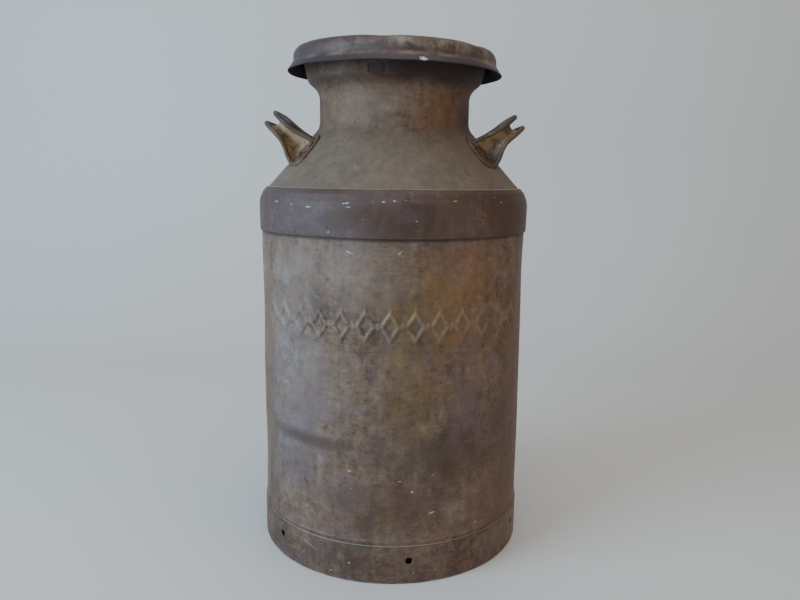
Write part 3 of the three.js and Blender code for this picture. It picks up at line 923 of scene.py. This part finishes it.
def breast_hoop_metal():
    return metal("Breast hoop steel", tone=-0.08, ochre=0.1, violet=0.42, marks=breast_hoop_marks)


def foot_hoop_metal():
    return metal("Foot hoop steel", tone=-0.03, ochre=0.22, violet=0.25, marks=foot_hoop_marks)


def breast_metal():
    return metal("Breast sheet", tone=-0.012, ochre=0.2, violet=0.16, marks=breast_marks)


def cover_metal():
    return metal(
        "Cover sheet", tone=-0.085, ochre=0.05, violet=0.35, pit=0.1, shade=0.94, marks=cover_marks
    )


def recess_metal():
    return metal("Cover recess sheet", tone=-0.06, ochre=0.2, violet=0.3)


def handle_metal():
    return metal("Handle steel", tone=-0.03, ochre=0.2, violet=0.2, bump=0.3, marks=handle_marks)


def hidden_metal():
    return metal("Shaded sheet", tone=-0.1, ochre=0.3, violet=0.2)


def solder_metal():
    return metal("Solder", tone=-0.03, ochre=0.2, violet=0.1, pit=0.05, marks=solder_marks)


# ---- Pieces -------------------------------------------------------------------------------


class MilkCan:
    """What the operators share."""

    @staticmethod
    def sizes():
        return bpy.context.scene.milk_can_sizes

    @staticmethod
    def finish():
        return bpy.context.scene.milk_can_finish

    @staticmethod
    def stage():
        return bpy.context.scene.milk_can_stage


def settle_in(piece, node, body, material):
    """The detailed piece takes the node's place and body, and its material."""
    if not piece.data.polygons:
        raise RuntimeError("no faces were made for " + node)
    piece.data.materials.clear()
    piece.data.materials.append(material)
    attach(piece, body)
    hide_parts(node)
    return piece


def cone_slope():
    """The way up the breast's cone, as (radius, height) of length one."""
    s = MilkCan.sizes()
    return unit(np.array((s.neck_radius - s.cone_radius, s.neck_height - s.cone_height)))


def cone_at(height, lift=0.0):
    """Radius and height of the breast's cone, lifted off its outside."""
    s = MilkCan.sizes()
    fall = (s.neck_radius - s.cone_radius, s.neck_height - s.cone_height)
    radius = s.cone_radius + (height - s.cone_height) * fall[0] / fall[1]
    long = math.hypot(*fall)
    return radius + lift * fall[1] / long, height - lift * fall[0] / long


def ornament_share(points):
    """Raised lozenges with a round bead between each two, across the front: 1 on top, 0 beside."""
    s = MilkCan.sizes()
    _, turn, height = polar(points)
    pitch, tall, wide, ridge = 27.5 * MM, 14 * MM, 9.5 * MM, 2.7 * MM
    around = turn * s.body_radius
    span = (s.ornaments - 1) / 2
    nearest = np.clip(np.round(around / pitch), -span, span) * pitch
    across, up = np.abs(around - nearest), np.abs(height - ORNAMENT_HEIGHT)
    slope = math.hypot(1 / wide, 1 / tall)
    lozenge = np.abs((across / wide + up / tall - 1) / slope)
    bead_at = np.clip(np.round(around / pitch - 0.5) + 0.5, 0.5 - span, span - 0.5) * pitch
    bead = np.hypot(around - bead_at, height - ORNAMENT_HEIGHT) - 1.6 * MM
    near = np.minimum(lozenge, np.maximum(bead, 0))
    return 1 - ease(near, 0.3 * ridge, 1.25 * ridge)


def ornament_relief(points):
    """The outside of the body pushed out where the ornaments are."""
    s = MilkCan.sizes()
    outside = polar(points)[0] > s.body_radius - 0.4 * MM
    return pushed_out(points, s.relief * ornament_share(points) * outside)


def side_seam(points):
    """The lap of the sheet down the back."""
    radius, turn, height = polar(points)
    across = np.abs(np.abs(turn) - math.pi) * radius
    level = ease(height, 53 * MM, 56 * MM) * (1 - ease(height, 393 * MM, 395 * MM))
    return pushed_out(points, 1.0 * MM * level * (1 - ease(across, 6.6 * MM, 7.4 * MM)))


def hoop_weld(points):
    """The slanting weld where the foot hoop's ends meet."""
    radius, turn, height = polar(points)
    here = np.stack([turn * radius, height], axis=-1)
    ends = ((-42.5, 44.2 * MM), (-29.5, 27.2 * MM))
    start, end = (np.array((math.radians(a) * 166.7 * MM, h)) for a, h in ends)
    along = np.clip((here - start) @ (end - start) / ((end - start) @ (end - start)), 0, 1)
    away = np.linalg.norm(here - start - along[:, None] * (end - start), axis=1)
    outside = radius > 0.1661
    return pushed_out(points, np.where(outside, 0.55 * MM * np.exp(-((away / (0.9 * MM)) ** 2)), 0))


def drain_turns():
    """Where the drain holes are, in radians from the front."""
    return [math.radians(FIRST_DRAIN + 360 / DRAINS * i) for i in range(DRAINS)]


def punched(points):
    """The sheet dished in around each punched drain hole."""
    radius, turn, height = polar(points)
    move = np.zeros(len(points))
    for at in drain_turns():
        across = radius * (np.mod(turn - at + math.pi, 2 * math.pi) - math.pi)
        away = np.hypot(across, height - DRAIN_HEIGHT)
        move -= 0.7 * MM * np.exp(-((away / (5.5 * MM)) ** 2))
    return pushed_out(points, move)


def build_body():
    """The rolled body sheet, fine across the ornaments and at the seam."""
    s = MilkCan.sizes()
    bead = s.bead_height
    line = filleted([
        (s.body_radius, BODY[0].z, 0),
        (s.body_radius, bead - 2.6 * MM, 2 * MM),
        (s.body_radius + 0.9 * MM, bead, 1.6 * MM),
        (s.body_radius, bead + 2.6 * MM, 2 * MM),
        (s.body_radius, BODY[1].z, 0),
    ])
    outline = sheet(line, SHEET, lambda z: 1.3 * MM if abs(z - ORNAMENT_HEIGHT) < 0.0185 else 5 * MM)
    turns = turns_round(1.4, (-66, 66, 0.42), (-180, -176, 0.3), (176, 180, 0.3))
    piece = turned("worn_body_shell", outline, turns, ornament_relief, side_seam, out_of_round)
    mark(piece.data, "raised", ornament_share(points_of(piece.data)))
    settle_in(piece, "body_shell", "can", body_metal())


def build_foot():
    """The bottom hoop, with its lower edge rolled in and its drain holes cut."""
    s = MilkCan.sizes()
    outer, top = FOOT[1].x, FOOT[1].z - 0.6 * MM
    inner, roll, flat = outer - s.foot_gauge, 2.4 * MM, 1.2 * MM
    hub = outer - roll
    front = arc((hub - flat, roll), roll, -262, -90, 12) + arc((hub, roll), roll, -90, 0, 8)
    front = divided(front + [(outer, top)], 1.6 * MM)
    back = filleted([(hub - flat, 2 * roll, 0), (inner, 2 * roll + 0.8 * MM, 2 * MM), (inner, top, 0)])
    outline = closed(front, divided(back, 6 * MM), round_start=False)
    turns = turns_round(1.2, (-46, -27, 0.3))
    piece = turned("worn_bottom_hoop", outline, turns, hoop_weld, punched, out_of_round)
    drills = []
    for at in drain_turns():
        aim = Vector((math.sin(at), -math.cos(at), 0))
        bit = new_object("drill", *drum(DRAIN_RADIUS, 14 * MM, 32))
        turn = aim.to_track_quat("Z", "Y").to_matrix().to_4x4()
        bit.matrix_world = Matrix.Translation(aim * outer + Vector((0, 0, DRAIN_HEIGHT))) @ turn
        drills.append(bit)
    bpy.context.view_layer.update()
    without(piece, *drills)
    settle_in(piece, "bottom_hoop", "can", foot_hoop_metal())


def drum(radius, tall, sides):
    """Points and faces of a closed round bar along +Z, centred."""
    a = np.linspace(0, 2 * math.pi, sides, endpoint=False)
    ring = np.stack([radius * np.cos(a), radius * np.sin(a)], axis=-1)
    rows = [np.column_stack([ring * k, np.full(sides, z)]) for z, k in (
        (-tall / 2, 0), (-tall / 2, 1), (tall / 2, 1), (tall / 2, 0))]
    faces = grid_faces(4, sides, wrap_rows=False)[:, ::-1]
    return np.vstack(rows), faces


def build_pan():
    """The dished bottom with its flange turned down."""
    edge, top = PAN[1].x, PAN[1].z
    sag, corner = 6 * MM, 5 * MM
    dish = [(edge * k, top - sag * (1 - k * k)) for k in np.linspace(1, 0, 15)[1:]]
    line = filleted([(edge, PAN[0].z, 0), (edge, top, corner), (*dish[0], 0)]) + dish[1:]
    line = line[::-1]
    under = offset(line, -1.5 * MM)
    under[0] = (0, under[0][1])
    outline = closed(under, line, round_start=False)
    piece = turned("worn_bottom_pan", outline, turns_round(3), out_of_round)
    settle_in(piece, "bottom_pan", "can", hidden_metal())


def mouth_mark(points):
    """A small square press mark in the front of the flare, under the cover's lip."""
    radius, turn, height = polar(points)
    across = 1 - ease(np.abs(turn - math.radians(MARK_TURN)), math.radians(4.9), math.radians(5.6))
    level = 1 - ease(np.abs(height - MARK_HEIGHT), 4.6 * MM, 5.6 * MM)
    return pushed_out(points, -2 * MM * across * level * (radius > 0.1))


def build_breast():
    """The pressed cone, neck and flare, with the mouth curled around its wire."""
    s = MilkCan.sizes()
    skirt = BREAST[1].x
    hub, wire = MOUTH, MOUTH_WIRE + GAP
    line = filleted([
        (skirt, BREAST[0].z, 0),
        (skirt, s.cone_height - 4 * MM, 4 * MM),
        (s.cone_radius, s.cone_height, 2 * MM),
        (s.neck_radius, s.neck_height, 18 * MM),
        (s.neck_radius, 561.3 * MM, 20 * MM),
        (106.4 * MM, 573.1 * MM, 8 * MM),
        (hub[0] - wire * 0.97, hub[1] - wire * 0.24, 0),
    ], step=6) + arc(hub, wire, 164.5, -60, 16)
    outline = sheet(line, SHEET, lambda z: 1.4 * MM if 0.571 < z < 0.586 else 4 * MM)
    turns = turns_round(1.4, (-17, -3, 0.5))
    shapes = (mouth_mark, out_of_round, crown_dented, leaning)
    piece = turned("worn_breast_and_neck", outline, turns, *shapes)
    settle_in(piece, "breast_and_neck", "can", breast_metal())


def build_breast_hoop():
    """The hoop over the joint, turned in against the cone."""
    s = MilkCan.sizes()
    outer, inner = BAND[1].x, BAND[1].x - s.band_gauge
    lift = GAP + 1.4 * MM
    front = filleted([
        (outer, BAND[0].z + 0.6 * MM, 0),
        (outer, 426.5 * MM, 12 * MM),
        (outer - 0.7 * MM, 433 * MM, 12 * MM),
        (*cone_at(441.5 * MM, lift), 6 * MM),
        (*cone_at(HOOP_EDGE, lift), 0),
    ], step=5)
    back = [
        (inner, BAND[0].z + 0.6 * MM), (inner, BODY[1].z + 1.5 * MM),
        cone_at(440.5 * MM, GAP), cone_at(HOOP_EDGE, GAP),
    ]
    outline = closed(divided(front, 2.5 * MM), divided(back, 8 * MM))
    piece = turned("worn_breast_hoop", outline, turns_round(1.2), out_of_round)
    settle_in(piece, "breast_hoop", "can", breast_hoop_metal())


def build_wire():
    """The wire inside the mouth's edge."""
    outline = arc(MOUTH, MOUTH_WIRE, 0, 330, 11)
    piece = turned("worn_mouth_wire", outline, turns_round(3), crown_dented, leaning)
    settle_in(piece, "mouth_wire", "can", hidden_metal())


def bead_outline(corner, along, out, size):
    """A solder fillet with a slightly hollow face, in the corner between two sheets."""
    corner, along, out = (np.array(v, float) for v in (corner, along, out))
    rise = [corner + along * 1.4 * size * k + out * size * (1 - k) ** 1.5 for k in np.linspace(0, 1, 6)]
    return [tuple(corner)] + [tuple(p) for p in rise]


def lumpy(seed):
    """A shape that makes a bead of solder uneven along its run."""
    def shape(points):
        swell = 0.22 * MM * bumps(points, 75, seed)
        return pushed_out(points, swell) + np.outer(swell * 0.5, (0, 0, 1))
    return shape


def build_solder():
    """The four solder beads."""
    s = MilkCan.sizes()
    edge = np.array(cone_at(HOOP_EDGE, GAP))
    slope = cone_slope()
    out = np.array((slope[1], -slope[0]))
    on_foot, on_pan = (s.body_radius + GAP, FOOT[1].z + GAP), (PAN[1].x, PAN[1].z + GAP)
    on_collar = (s.recess_radius, RECESS_FOOT - GAP)
    # Node, body, corner, the ways along one sheet and out from it, size, and how it has moved.
    beads = [
        ("breast_hoop_solder", "can", edge + slope * GAP, slope, out, 1.2 * MM, out_of_round),
        ("bottom_hoop_solder", "can", on_foot, (0, 1), (1, 0), 0.8 * MM, out_of_round),
        ("bottom_pan_solder", "can", on_pan, (-1, 0), (0, 1), 1.6 * MM, out_of_round),
        ("cover_solder", "cover", on_collar, (0, -1), (1, 0), 1.2 * MM, cover_settled),
    ]
    for seed, (node, body, corner, along, away, size, moved) in enumerate(beads):
        outline = bead_outline(corner, along, away, size)
        piece = turned("worn_" + node, outline, turns_round(1.2), lumpy(seed + 0.5), moved)
        settle_in(piece, node, body, solder_metal())


# ---- Handles and rivets -------------------------------------------------------------------

# The loop's plane and the channel that is bent along it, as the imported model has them.
HANDLE_BASE = np.array((111.6, 0, 492.7)) * MM
GRIP_REACH, GRIP_HALF_SPAN, CHANNEL_DEPTH = 38.5 * MM, 45 * MM, 8.5 * MM
FOOT_HALF_WIDTH, GRIP_HALF_WIDTH, CHANNEL_GAUGE = 20 * MM, 8.2 * MM, 2.6 * MM
FLANGE_BEAD = 3.0 * MM  # radius of the rolled edge of each flange
HANDLE_TILT = 45.0


def channel(half_width):
    """The channel's section as (towards its open side, across, inside), with rolled edges."""
    a = np.radians(np.linspace(-97, 97, 33))
    middle = np.column_stack([CHANNEL_DEPTH * (1 - np.cos(a)), half_width * np.sin(a)])
    hollow, back = offset(middle, -CHANNEL_GAUGE / 2), offset(middle, CHANNEL_GAUGE / 2)
    shut = math.degrees(math.asin(CHANNEL_GAUGE / 2 / FLANGE_BEAD))
    run = unit(middle[-1] - middle[-2])
    hub = middle[-1] + run * FLANGE_BEAD * math.cos(math.radians(shut))
    ahead = math.degrees(math.atan2(run[1], run[0]))
    far = arc(hub, FLANGE_BEAD, ahead - 180 + shut, ahead + 180 - shut, 14)[1:-1]
    near = [(x, -y) for x, y in far[::-1]]
    marks = np.repeat([0.0, 0.5, 1.0, 0.5], [len(hollow), len(far), len(back), len(near)])
    return np.column_stack([hollow + far + back[::-1] + near, marks])


def section_marks():
    """How near each point of the section is to a rolled edge, and if it is in the hollow."""
    section = channel(GRIP_HALF_WIDTH)
    depth, inside = section[:, 0], section[:, 2]
    edge = np.where(inside == 0.5, 1.0, ease(depth, 0.62 * CHANNEL_DEPTH, 1.05 * CHANNEL_DEPTH))
    return edge, np.where(inside == 0, 1.0, 0.0)


def bent_channel(lean):
    """The loop's rings of points. lean bends the grip further out or in, in degrees."""
    half, reach = GRIP_HALF_SPAN, GRIP_REACH
    line = filleted([
        (half + 3 * MM, -16 * MM, 0), (half, 8 * MM, 30 * MM), (half, reach + 0.5 * MM, 16 * MM),
        (-half, reach + 0.5 * MM, 16 * MM), (-half, 8 * MM, 30 * MM), (-half - 3 * MM, -16 * MM, 0),
    ], step=6)
    line = np.array(divided(line, 2.5 * MM))
    run = np.gradient(line, axis=0)
    away = unit(np.column_stack([run[:, 1], -run[:, 0]])) * -1
    if away[0, 0] < 0:
        away = -away
    rings = []
    for (y, v), (ay, av) in zip(line, away):
        spread = 1 - ease(v, -16 * MM, 0.8 * reach)
        q = channel(float(GRIP_HALF_WIDTH + (FOOT_HALF_WIDTH - GRIP_HALF_WIDTH) * spread))
        rise = v + av * q[:, 0]
        tilt = np.radians(HANDLE_TILT + lean * ease(rise, 0, reach))
        lift = q[:, 1] + 3 * MM * float(ease(v, 0, reach))
        ring = np.stack([
            rise * np.cos(tilt) - lift * np.sin(tilt),
            y + ay * q[:, 0],
            rise * np.sin(tilt) + lift * np.cos(tilt),
        ], axis=-1)
        rings.append(ring + HANDLE_BASE)
    return np.array(rings)


def foot_pad(end, half_width):
    """The flange turned out under one foot, bent to the cone: closed points and faces."""
    turn0, height0 = math.radians(90 - end * 29), 490 * MM
    slope = cone_slope()
    a = np.linspace(0, 2 * math.pi, 48, endpoint=False)
    square = 1 / (np.abs(np.cos(a)) ** 3.2 + np.abs(np.sin(a)) ** 3.2) ** (1 / 3.2)
    spread = [0.0, 0.3, 0.6, 0.8, 0.9, 0.96, 1.0]
    rows = []
    for side, shares in ((1, spread), (0, spread[::-1])):
        for k in shares:
            across, up = half_width * k * square * np.cos(a), 25 * MM * k * square * np.sin(a)
            lift = GAP + (2.2 * MM * (1 - k**8) ** 0.5 if side else 0)
            radius, height = np.array([cone_at(height0 + u * slope[1], lift) for u in up]).T
            turn = turn0 + across / cone_at(height0)[0]
            rows.append(np.stack([radius * np.sin(turn), -radius * np.cos(turn), height], axis=-1))
    rows = np.array(rows)
    return rows.reshape(-1, 3), grid_faces(len(rows), len(a), wrap_rows=False)


def build_handles():
    """Both handles: a bent channel on two feet, trimmed to the cone and made one piece."""
    edge, hollow = section_marks()
    for side, lean, pad_width in (("left", -3.5, 15.5 * MM), ("right", -7.0, 19 * MM)):
        rings = bent_channel(lean)
        count, size = rings.shape[:2]
        loop = new_object("loop", rings.reshape(-1, 3), grid_faces(count, size, wrap_rows=False))
        with opened(loop.data) as made:
            close_ends(made)
        heights = (0.41, 0.54)
        core = [(0, heights[0])] + [cone_at(h, GAP) for h in heights] + [(0, heights[1])]
        without(loop, turned("core", core, turns_round(1.5)))
        with opened(loop.data) as made:
            for end in (-1, 1):
                pad = new_object("pad", *foot_pad(end, pad_width))
                made.from_mesh(pad.data)
                bpy.data.objects.remove(pad)
        resolved(
            loop,
            ("REMESH", {"mode": "VOXEL", "voxel_size": 0.85 * MM}),
            ("SMOOTH", {"factor": 0.5, "iterations": 3}),
        )
        loop.name = "worn_handle_" + side
        mark_channel(loop.data, rings.reshape(-1, 3), np.tile(edge, count), np.tile(hollow, count))
        if side == "left":
            loop.data.transform(Matrix.Rotation(math.pi, 4, "Z"))
        settle_in(loop, "handle_" + side, "can", handle_metal())


def mark_channel(mesh, points, edge, hollow):
    """Point marks for the handle's finish, taken from the nearest point of the plain channel."""
    tree = kdtree.KDTree(len(points))
    for i, p in enumerate(points):
        tree.insert(p, i)
    tree.balance()
    near = np.array([tree.find(v.co)[1:] for v in mesh.vertices])
    index, away = near[:, 0].astype(int), near[:, 1]
    close = 1 - ease(away, 2 * MM, 6 * MM)
    for name, values in (("edge", edge), ("hollow", hollow)):
        mark(mesh, name, values[index] * close)


def rivet_outline(grip):
    """A domed head, shank and hammered tail along +Z, centred on its whole length."""
    head, shank, dome, tail, tail_height = 4 * MM, 2 * MM, 1.8 * MM, 3.2 * MM, 1.2 * MM
    outline = [(0, -grip - tail_height)]
    outline += [(tail * math.sin(a), -grip - tail_height * math.cos(a) ** 1.5)
                for a in np.linspace(0, math.pi / 2, 6)[1:]]
    outline += [(shank, -grip), (shank, 0)]
    outline += [(head * math.cos(a), dome * math.sin(a)) for a in np.linspace(0, math.pi / 2, 9)]
    return np.array(outline) + (0, (grip + tail_height - dome) / 2)


def build_rivets():
    """The rivets through the handles' feet and through the ends of the strap."""
    slope = cone_slope()
    jobs = []
    for side in ("left", "right"):
        for end, tier in CORNERS:
            node = f"handle_{side}_rivet_{end}_{tier}"
            low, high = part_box(node)
            middle = (low + high) / 2
            flat = Vector((middle.x, middle.y, 0)).normalized()
            aim = flat * slope[1] + Vector((0, 0, -slope[0]))
            jobs.append((node, "can", middle, aim, 4.5 * MM, handle_metal(), "handle_steel"))
        for end in ("front", "rear"):
            node = f"cover_rivet_{side}_{end}"
            low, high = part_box(node)
            middle = (low + high) / 2
            aim = Vector((1 if side == "left" else -1, 0, 0))
            middle.z -= middle.x * COVER_LEAN
            jobs.append((node, "cover", middle, aim, 6.8 * MM, recess_metal(), "cover_steel"))
    for seed, (node, body, middle, aim, grip, material, slot) in enumerate(jobs):
        place = Matrix.Translation(middle) @ aim.to_track_quat("Z", "Y").to_matrix().to_4x4()
        piece = turned("worn_" + node, rivet_outline(grip), turns_round(15))
        for v in piece.data.vertices:
            hammered = 1 + 0.05 * noise.noise(v.co * 900 + Vector((seed, 0, 0)))
            v.co = place @ (v.co * hammered)
        settle_in(piece, node, body, material)


# ---- Cover --------------------------------------------------------------------------------


def build_cover_rim():
    """The umbrella: lip, skirt, crown, and the collar down into the recess."""
    s = MilkCan.sizes()
    skirt, lip, lip_height = s.cover_radius, RIM[1].x, 584 * MM
    line = filleted([
        (lip, lip_height, 0),
        (lip - 3.4 * MM, lip_height + 4.6 * MM, 8 * MM),
        (skirt, 594.5 * MM, 7 * MM),
        (skirt, CROWN_TOP, 11.2 * MM),
        (s.recess_radius, CROWN_TOP, 4 * MM),
        (s.recess_radius, RECESS_FOOT, 0),
    ], step=6)
    outline = sheet(line, SHEET, 2.2 * MM, 4 * MM)
    turns = turns_round(1.1, (8, 20, 0.6))
    piece = turned("worn_cover_rim", outline, turns, bruised, crown_dented, cover_settled)
    settle_in(piece, "cover_rim", "cover", cover_metal())


def bruised(points):
    """The lip knocked back at the bruise, which is painted bright as a glint."""
    _, turn, height = polar(points)
    near = np.exp(-(((turn - math.radians(BRUISE_TURN)) / math.radians(2.4)) ** 2))
    return pushed_out(points, -1.3 * MM * near * (1 - ease(height, 0.584, 0.59)))


def build_cover_plug():
    """The cup that goes down into the neck, with a dished floor."""
    outer = PLUG[1].x
    line = filleted([
        (outer, PLUG[1].z - 0.6 * MM, 0),
        (outer - 0.6 * MM, 580 * MM, 6 * MM),
        (90.6 * MM, 561 * MM, 6 * MM),
        (90.2 * MM, PLUG[0].z, 4 * MM),
        (60 * MM, PLUG[0].z, 3 * MM),
        (57 * MM, PLUG[0].z + 1.2 * MM, 3 * MM),
        (0, PLUG[0].z + 1.2 * MM, 0),
    ], step=8)[::-1]
    inner = offset(line, SHEET)
    inner[0] = (0, inner[0][1])
    outline = closed(divided(line, 5 * MM), divided(inner, 5 * MM), round_start=False)
    piece = turned("worn_cover_plug", outline, turns_round(2), cover_leaning)
    settle_in(piece, "cover_plug", "cover", recess_metal())


def build_cover_strap():
    """The flat grip across the recess, with softened edges."""
    reach, half, gauge = STRAP[1].x, STRAP[1].y, 2.5 * MM
    crown, foot = STRAP[1].z, STRAP[0].z
    line = filleted([
        (-reach, foot, 0), (-reach, crown - 2.6 * MM, 9 * MM), (0, crown - 0.1 * MM, 300 * MM),
        (reach, crown - 2.6 * MM, 9 * MM), (reach, foot, 0),
    ])
    under = offset(line, -gauge)
    section = np.array(divided(line, 4 * MM) + divided(under, 4 * MM)[::-1])
    round_ = 0.9 * MM
    rows = []
    inward = unit(np.roll(section, -1, axis=0) - np.roll(section, 1, axis=0))
    inward = np.column_stack([-inward[:, 1], inward[:, 0]])
    if (inward * (section.mean(axis=0) - section)).sum() < 0:
        inward = -inward
    side = [(half, 1.0), (half - 0.3 * round_, 0.3), (half - round_, 0.0), (half * 0.5, 0.0)]
    for y, inset in [(-y, inset) for y, inset in side] + side[::-1]:
        at = section + inward * inset * round_
        rows.append(np.column_stack([at[:, 0], np.full(len(at), y), at[:, 1]]))
    points = cover_leaning(np.array(rows).reshape(-1, 3))
    faces = grid_faces(len(rows), len(section), wrap_rows=False)
    piece = new_object("worn_cover_strap", points, faces)
    with opened(piece.data) as made:
        close_ends(made)
    piece.data.shade_smooth()
    piece.data.set_sharp_from_angle(angle=math.radians(50))
    settle_in(piece, "cover_strap", "cover", recess_metal())


# ---- Stage --------------------------------------------------------------------------------

CAMERA_PLACE = (0.00956, -0.9178, 0.46325)
CAMERA_LENS = 32.19  # millimetres, on a 36 mm sensor
CAMERA_DOWN, CAMERA_ROLL = 9.938, 0.652  # degrees below level, and anticlockwise
FLOOR_SWEEP = [(-3.5, 0, 0), (1.4, 0, 0.6), (1.4, 3.2, 0)]  # (y, z, fillet) of the backdrop


def place_camera():
    """A camera a little above the can's middle, looking slightly down."""
    data = bpy.data.cameras.new("camera")
    data.sensor_width, data.lens = 36, CAMERA_LENS
    camera = bpy.data.objects.new("camera", data)
    camera.location = CAMERA_PLACE
    level = Euler((math.radians(90 - CAMERA_DOWN), 0, 0)).to_matrix()
    camera.rotation_euler = (level @ Matrix.Rotation(math.radians(CAMERA_ROLL), 3, "Z")).to_euler()
    bpy.context.scene.collection.objects.link(camera)
    bpy.context.scene.camera = camera


def build_stage():
    """The floor and backdrop, the three soft lights, the room and the camera."""
    stage = MilkCan.stage()
    sweep = filleted(FLOOR_SWEEP, step=4)
    points = [(x, y, z) for x in (-5, 5) for y, z in sweep]
    n = len(sweep)
    floor = new_object("floor", points, [(i, n + i, n + i + 1, i + 1) for i in range(n - 1)])
    material = bpy.data.materials.new("Pale floor")
    material.use_nodes = True
    w = Wiring(material.node_tree)
    shader = material.node_tree.nodes["Principled BSDF"]
    cloud = w.noise(w.place(), 2.5, 3.0)
    w.give(shader.inputs["Base Color"], w.blend(
        w.times(cloud, 0.25), rgba(stage.floor), rgba([c * 0.9 for c in stage.floor])))
    shader.inputs["Roughness"].default_value = 0.6
    floor.data.materials.append(material)
    lamps = [
        ("window", stage.window, 1.5, (-2.0, -1.25, 1.1), (0.53, 0.75, 1.0)),
        ("fill", stage.fill, 1.2, (1.9, -1.0, 0.7), (1.0, 0.64, 0.36)),
        ("top", stage.top, 1.8, (0.2, -0.5, 2.3), (1.0, 0.95, 0.88)),
    ]
    for name, power, size, place, tint in lamps:
        data = bpy.data.lights.new(name, "AREA")
        data.energy, data.size, data.color = power, size, tint
        lamp = bpy.data.objects.new(name, data)
        lamp.location = place
        lamp.rotation_euler = (Vector((0, 0, 0.3)) - Vector(place)).to_track_quat("-Z", "Y").to_euler()
        bpy.context.scene.collection.objects.link(lamp)
    world = bpy.data.worlds.new("Soft room")
    world.use_nodes = True
    background = world.node_tree.nodes["Background"]
    background.inputs["Color"].default_value = (0.95, 0.97, 1.0, 1.0)
    background.inputs["Strength"].default_value = 0.29
    bpy.context.scene.world = world
    place_camera()


# ---- Operators and panel ------------------------------------------------------------------


class MILKCAN_OT_body(bpy.types.Operator):
    """Roll the body sheet with its bead, seam and ornaments"""

    bl_idname = "milk_can.body"
    bl_label = "Body"

    def execute(self, context):
        build_body()
        return {"FINISHED"}


class MILKCAN_OT_foot(bpy.types.Operator):
    """Make the bottom hoop and the pan inside it"""

    bl_idname = "milk_can.foot"
    bl_label = "Foot"

    def execute(self, context):
        build_foot()
        build_pan()
        return {"FINISHED"}


class MILKCAN_OT_breast(bpy.types.Operator):
    """Press the breast, neck and mouth, with the hoop and wire"""

    bl_idname = "milk_can.breast"
    bl_label = "Breast"

    def execute(self, context):
        build_breast()
        build_breast_hoop()
        build_wire()
        return {"FINISHED"}


class MILKCAN_OT_handles(bpy.types.Operator):
    """Press the two carrying handles"""

    bl_idname = "milk_can.handles"
    bl_label = "Handles"

    def execute(self, context):
        build_handles()
        return {"FINISHED"}


class MILKCAN_OT_cover(bpy.types.Operator):
    """Make the cover's rim, plug and strap"""

    bl_idname = "milk_can.cover"
    bl_label = "Cover"

    def execute(self, context):
        build_cover_rim()
        build_cover_plug()
        build_cover_strap()
        return {"FINISHED"}


class MILKCAN_OT_rivets(bpy.types.Operator):
    """Set the rivets of the handles and the strap"""

    bl_idname = "milk_can.rivets"
    bl_label = "Rivets"

    def execute(self, context):
        build_rivets()
        return {"FINISHED"}


class MILKCAN_OT_solder(bpy.types.Operator):
    """Run the solder beads"""

    bl_idname = "milk_can.solder"
    bl_label = "Solder"

    def execute(self, context):
        build_solder()
        return {"FINISHED"}


class MILKCAN_OT_stage(bpy.types.Operator):
    """Lay the floor and set the lights and the camera"""

    bl_idname = "milk_can.stage"
    bl_label = "Stage"

    def execute(self, context):
        build_stage()
        return {"FINISHED"}


OPERATORS = [
    MILKCAN_OT_body, MILKCAN_OT_foot, MILKCAN_OT_breast, MILKCAN_OT_handles,
    MILKCAN_OT_cover, MILKCAN_OT_rivets, MILKCAN_OT_solder, MILKCAN_OT_stage,
]


class MILKCAN_PT_builder(bpy.types.Panel):
    """Sizes, finishes and build steps of the milk can"""

    bl_label = "Milk Can"
    bl_space_type = "VIEW_3D"
    bl_region_type = "UI"
    bl_category = "Milk Can"

    def draw(self, context):
        for group in ("milk_can_sizes", "milk_can_finish", "milk_can_stage"):
            settings = getattr(context.scene, group)
            box = self.layout.box()
            for key in settings.__annotations__:
                box.prop(settings, key)
        for made in OPERATORS:
            self.layout.operator(made.bl_idname)


GROUPS = {
    "milk_can_sizes": MilkCanSizes,
    "milk_can_finish": MilkCanFinish,
    "milk_can_stage": MilkCanStage,
}


def register():
    for made in [*GROUPS.values(), *OPERATORS, MILKCAN_PT_builder]:
        bpy.utils.register_class(made)
    for key, group in GROUPS.items():
        setattr(bpy.types.Scene, key, PointerProperty(type=group))


def unregister():
    for key in GROUPS:
        delattr(bpy.types.Scene, key)
    for made in reversed([*GROUPS.values(), *OPERATORS, MILKCAN_PT_builder]):
        bpy.utils.unregister_class(made)


def main():
    register()
    for made in OPERATORS:
        getattr(bpy.ops.milk_can, made.bl_idname.split(".")[1])()


if __name__ == "__main__":
    main()
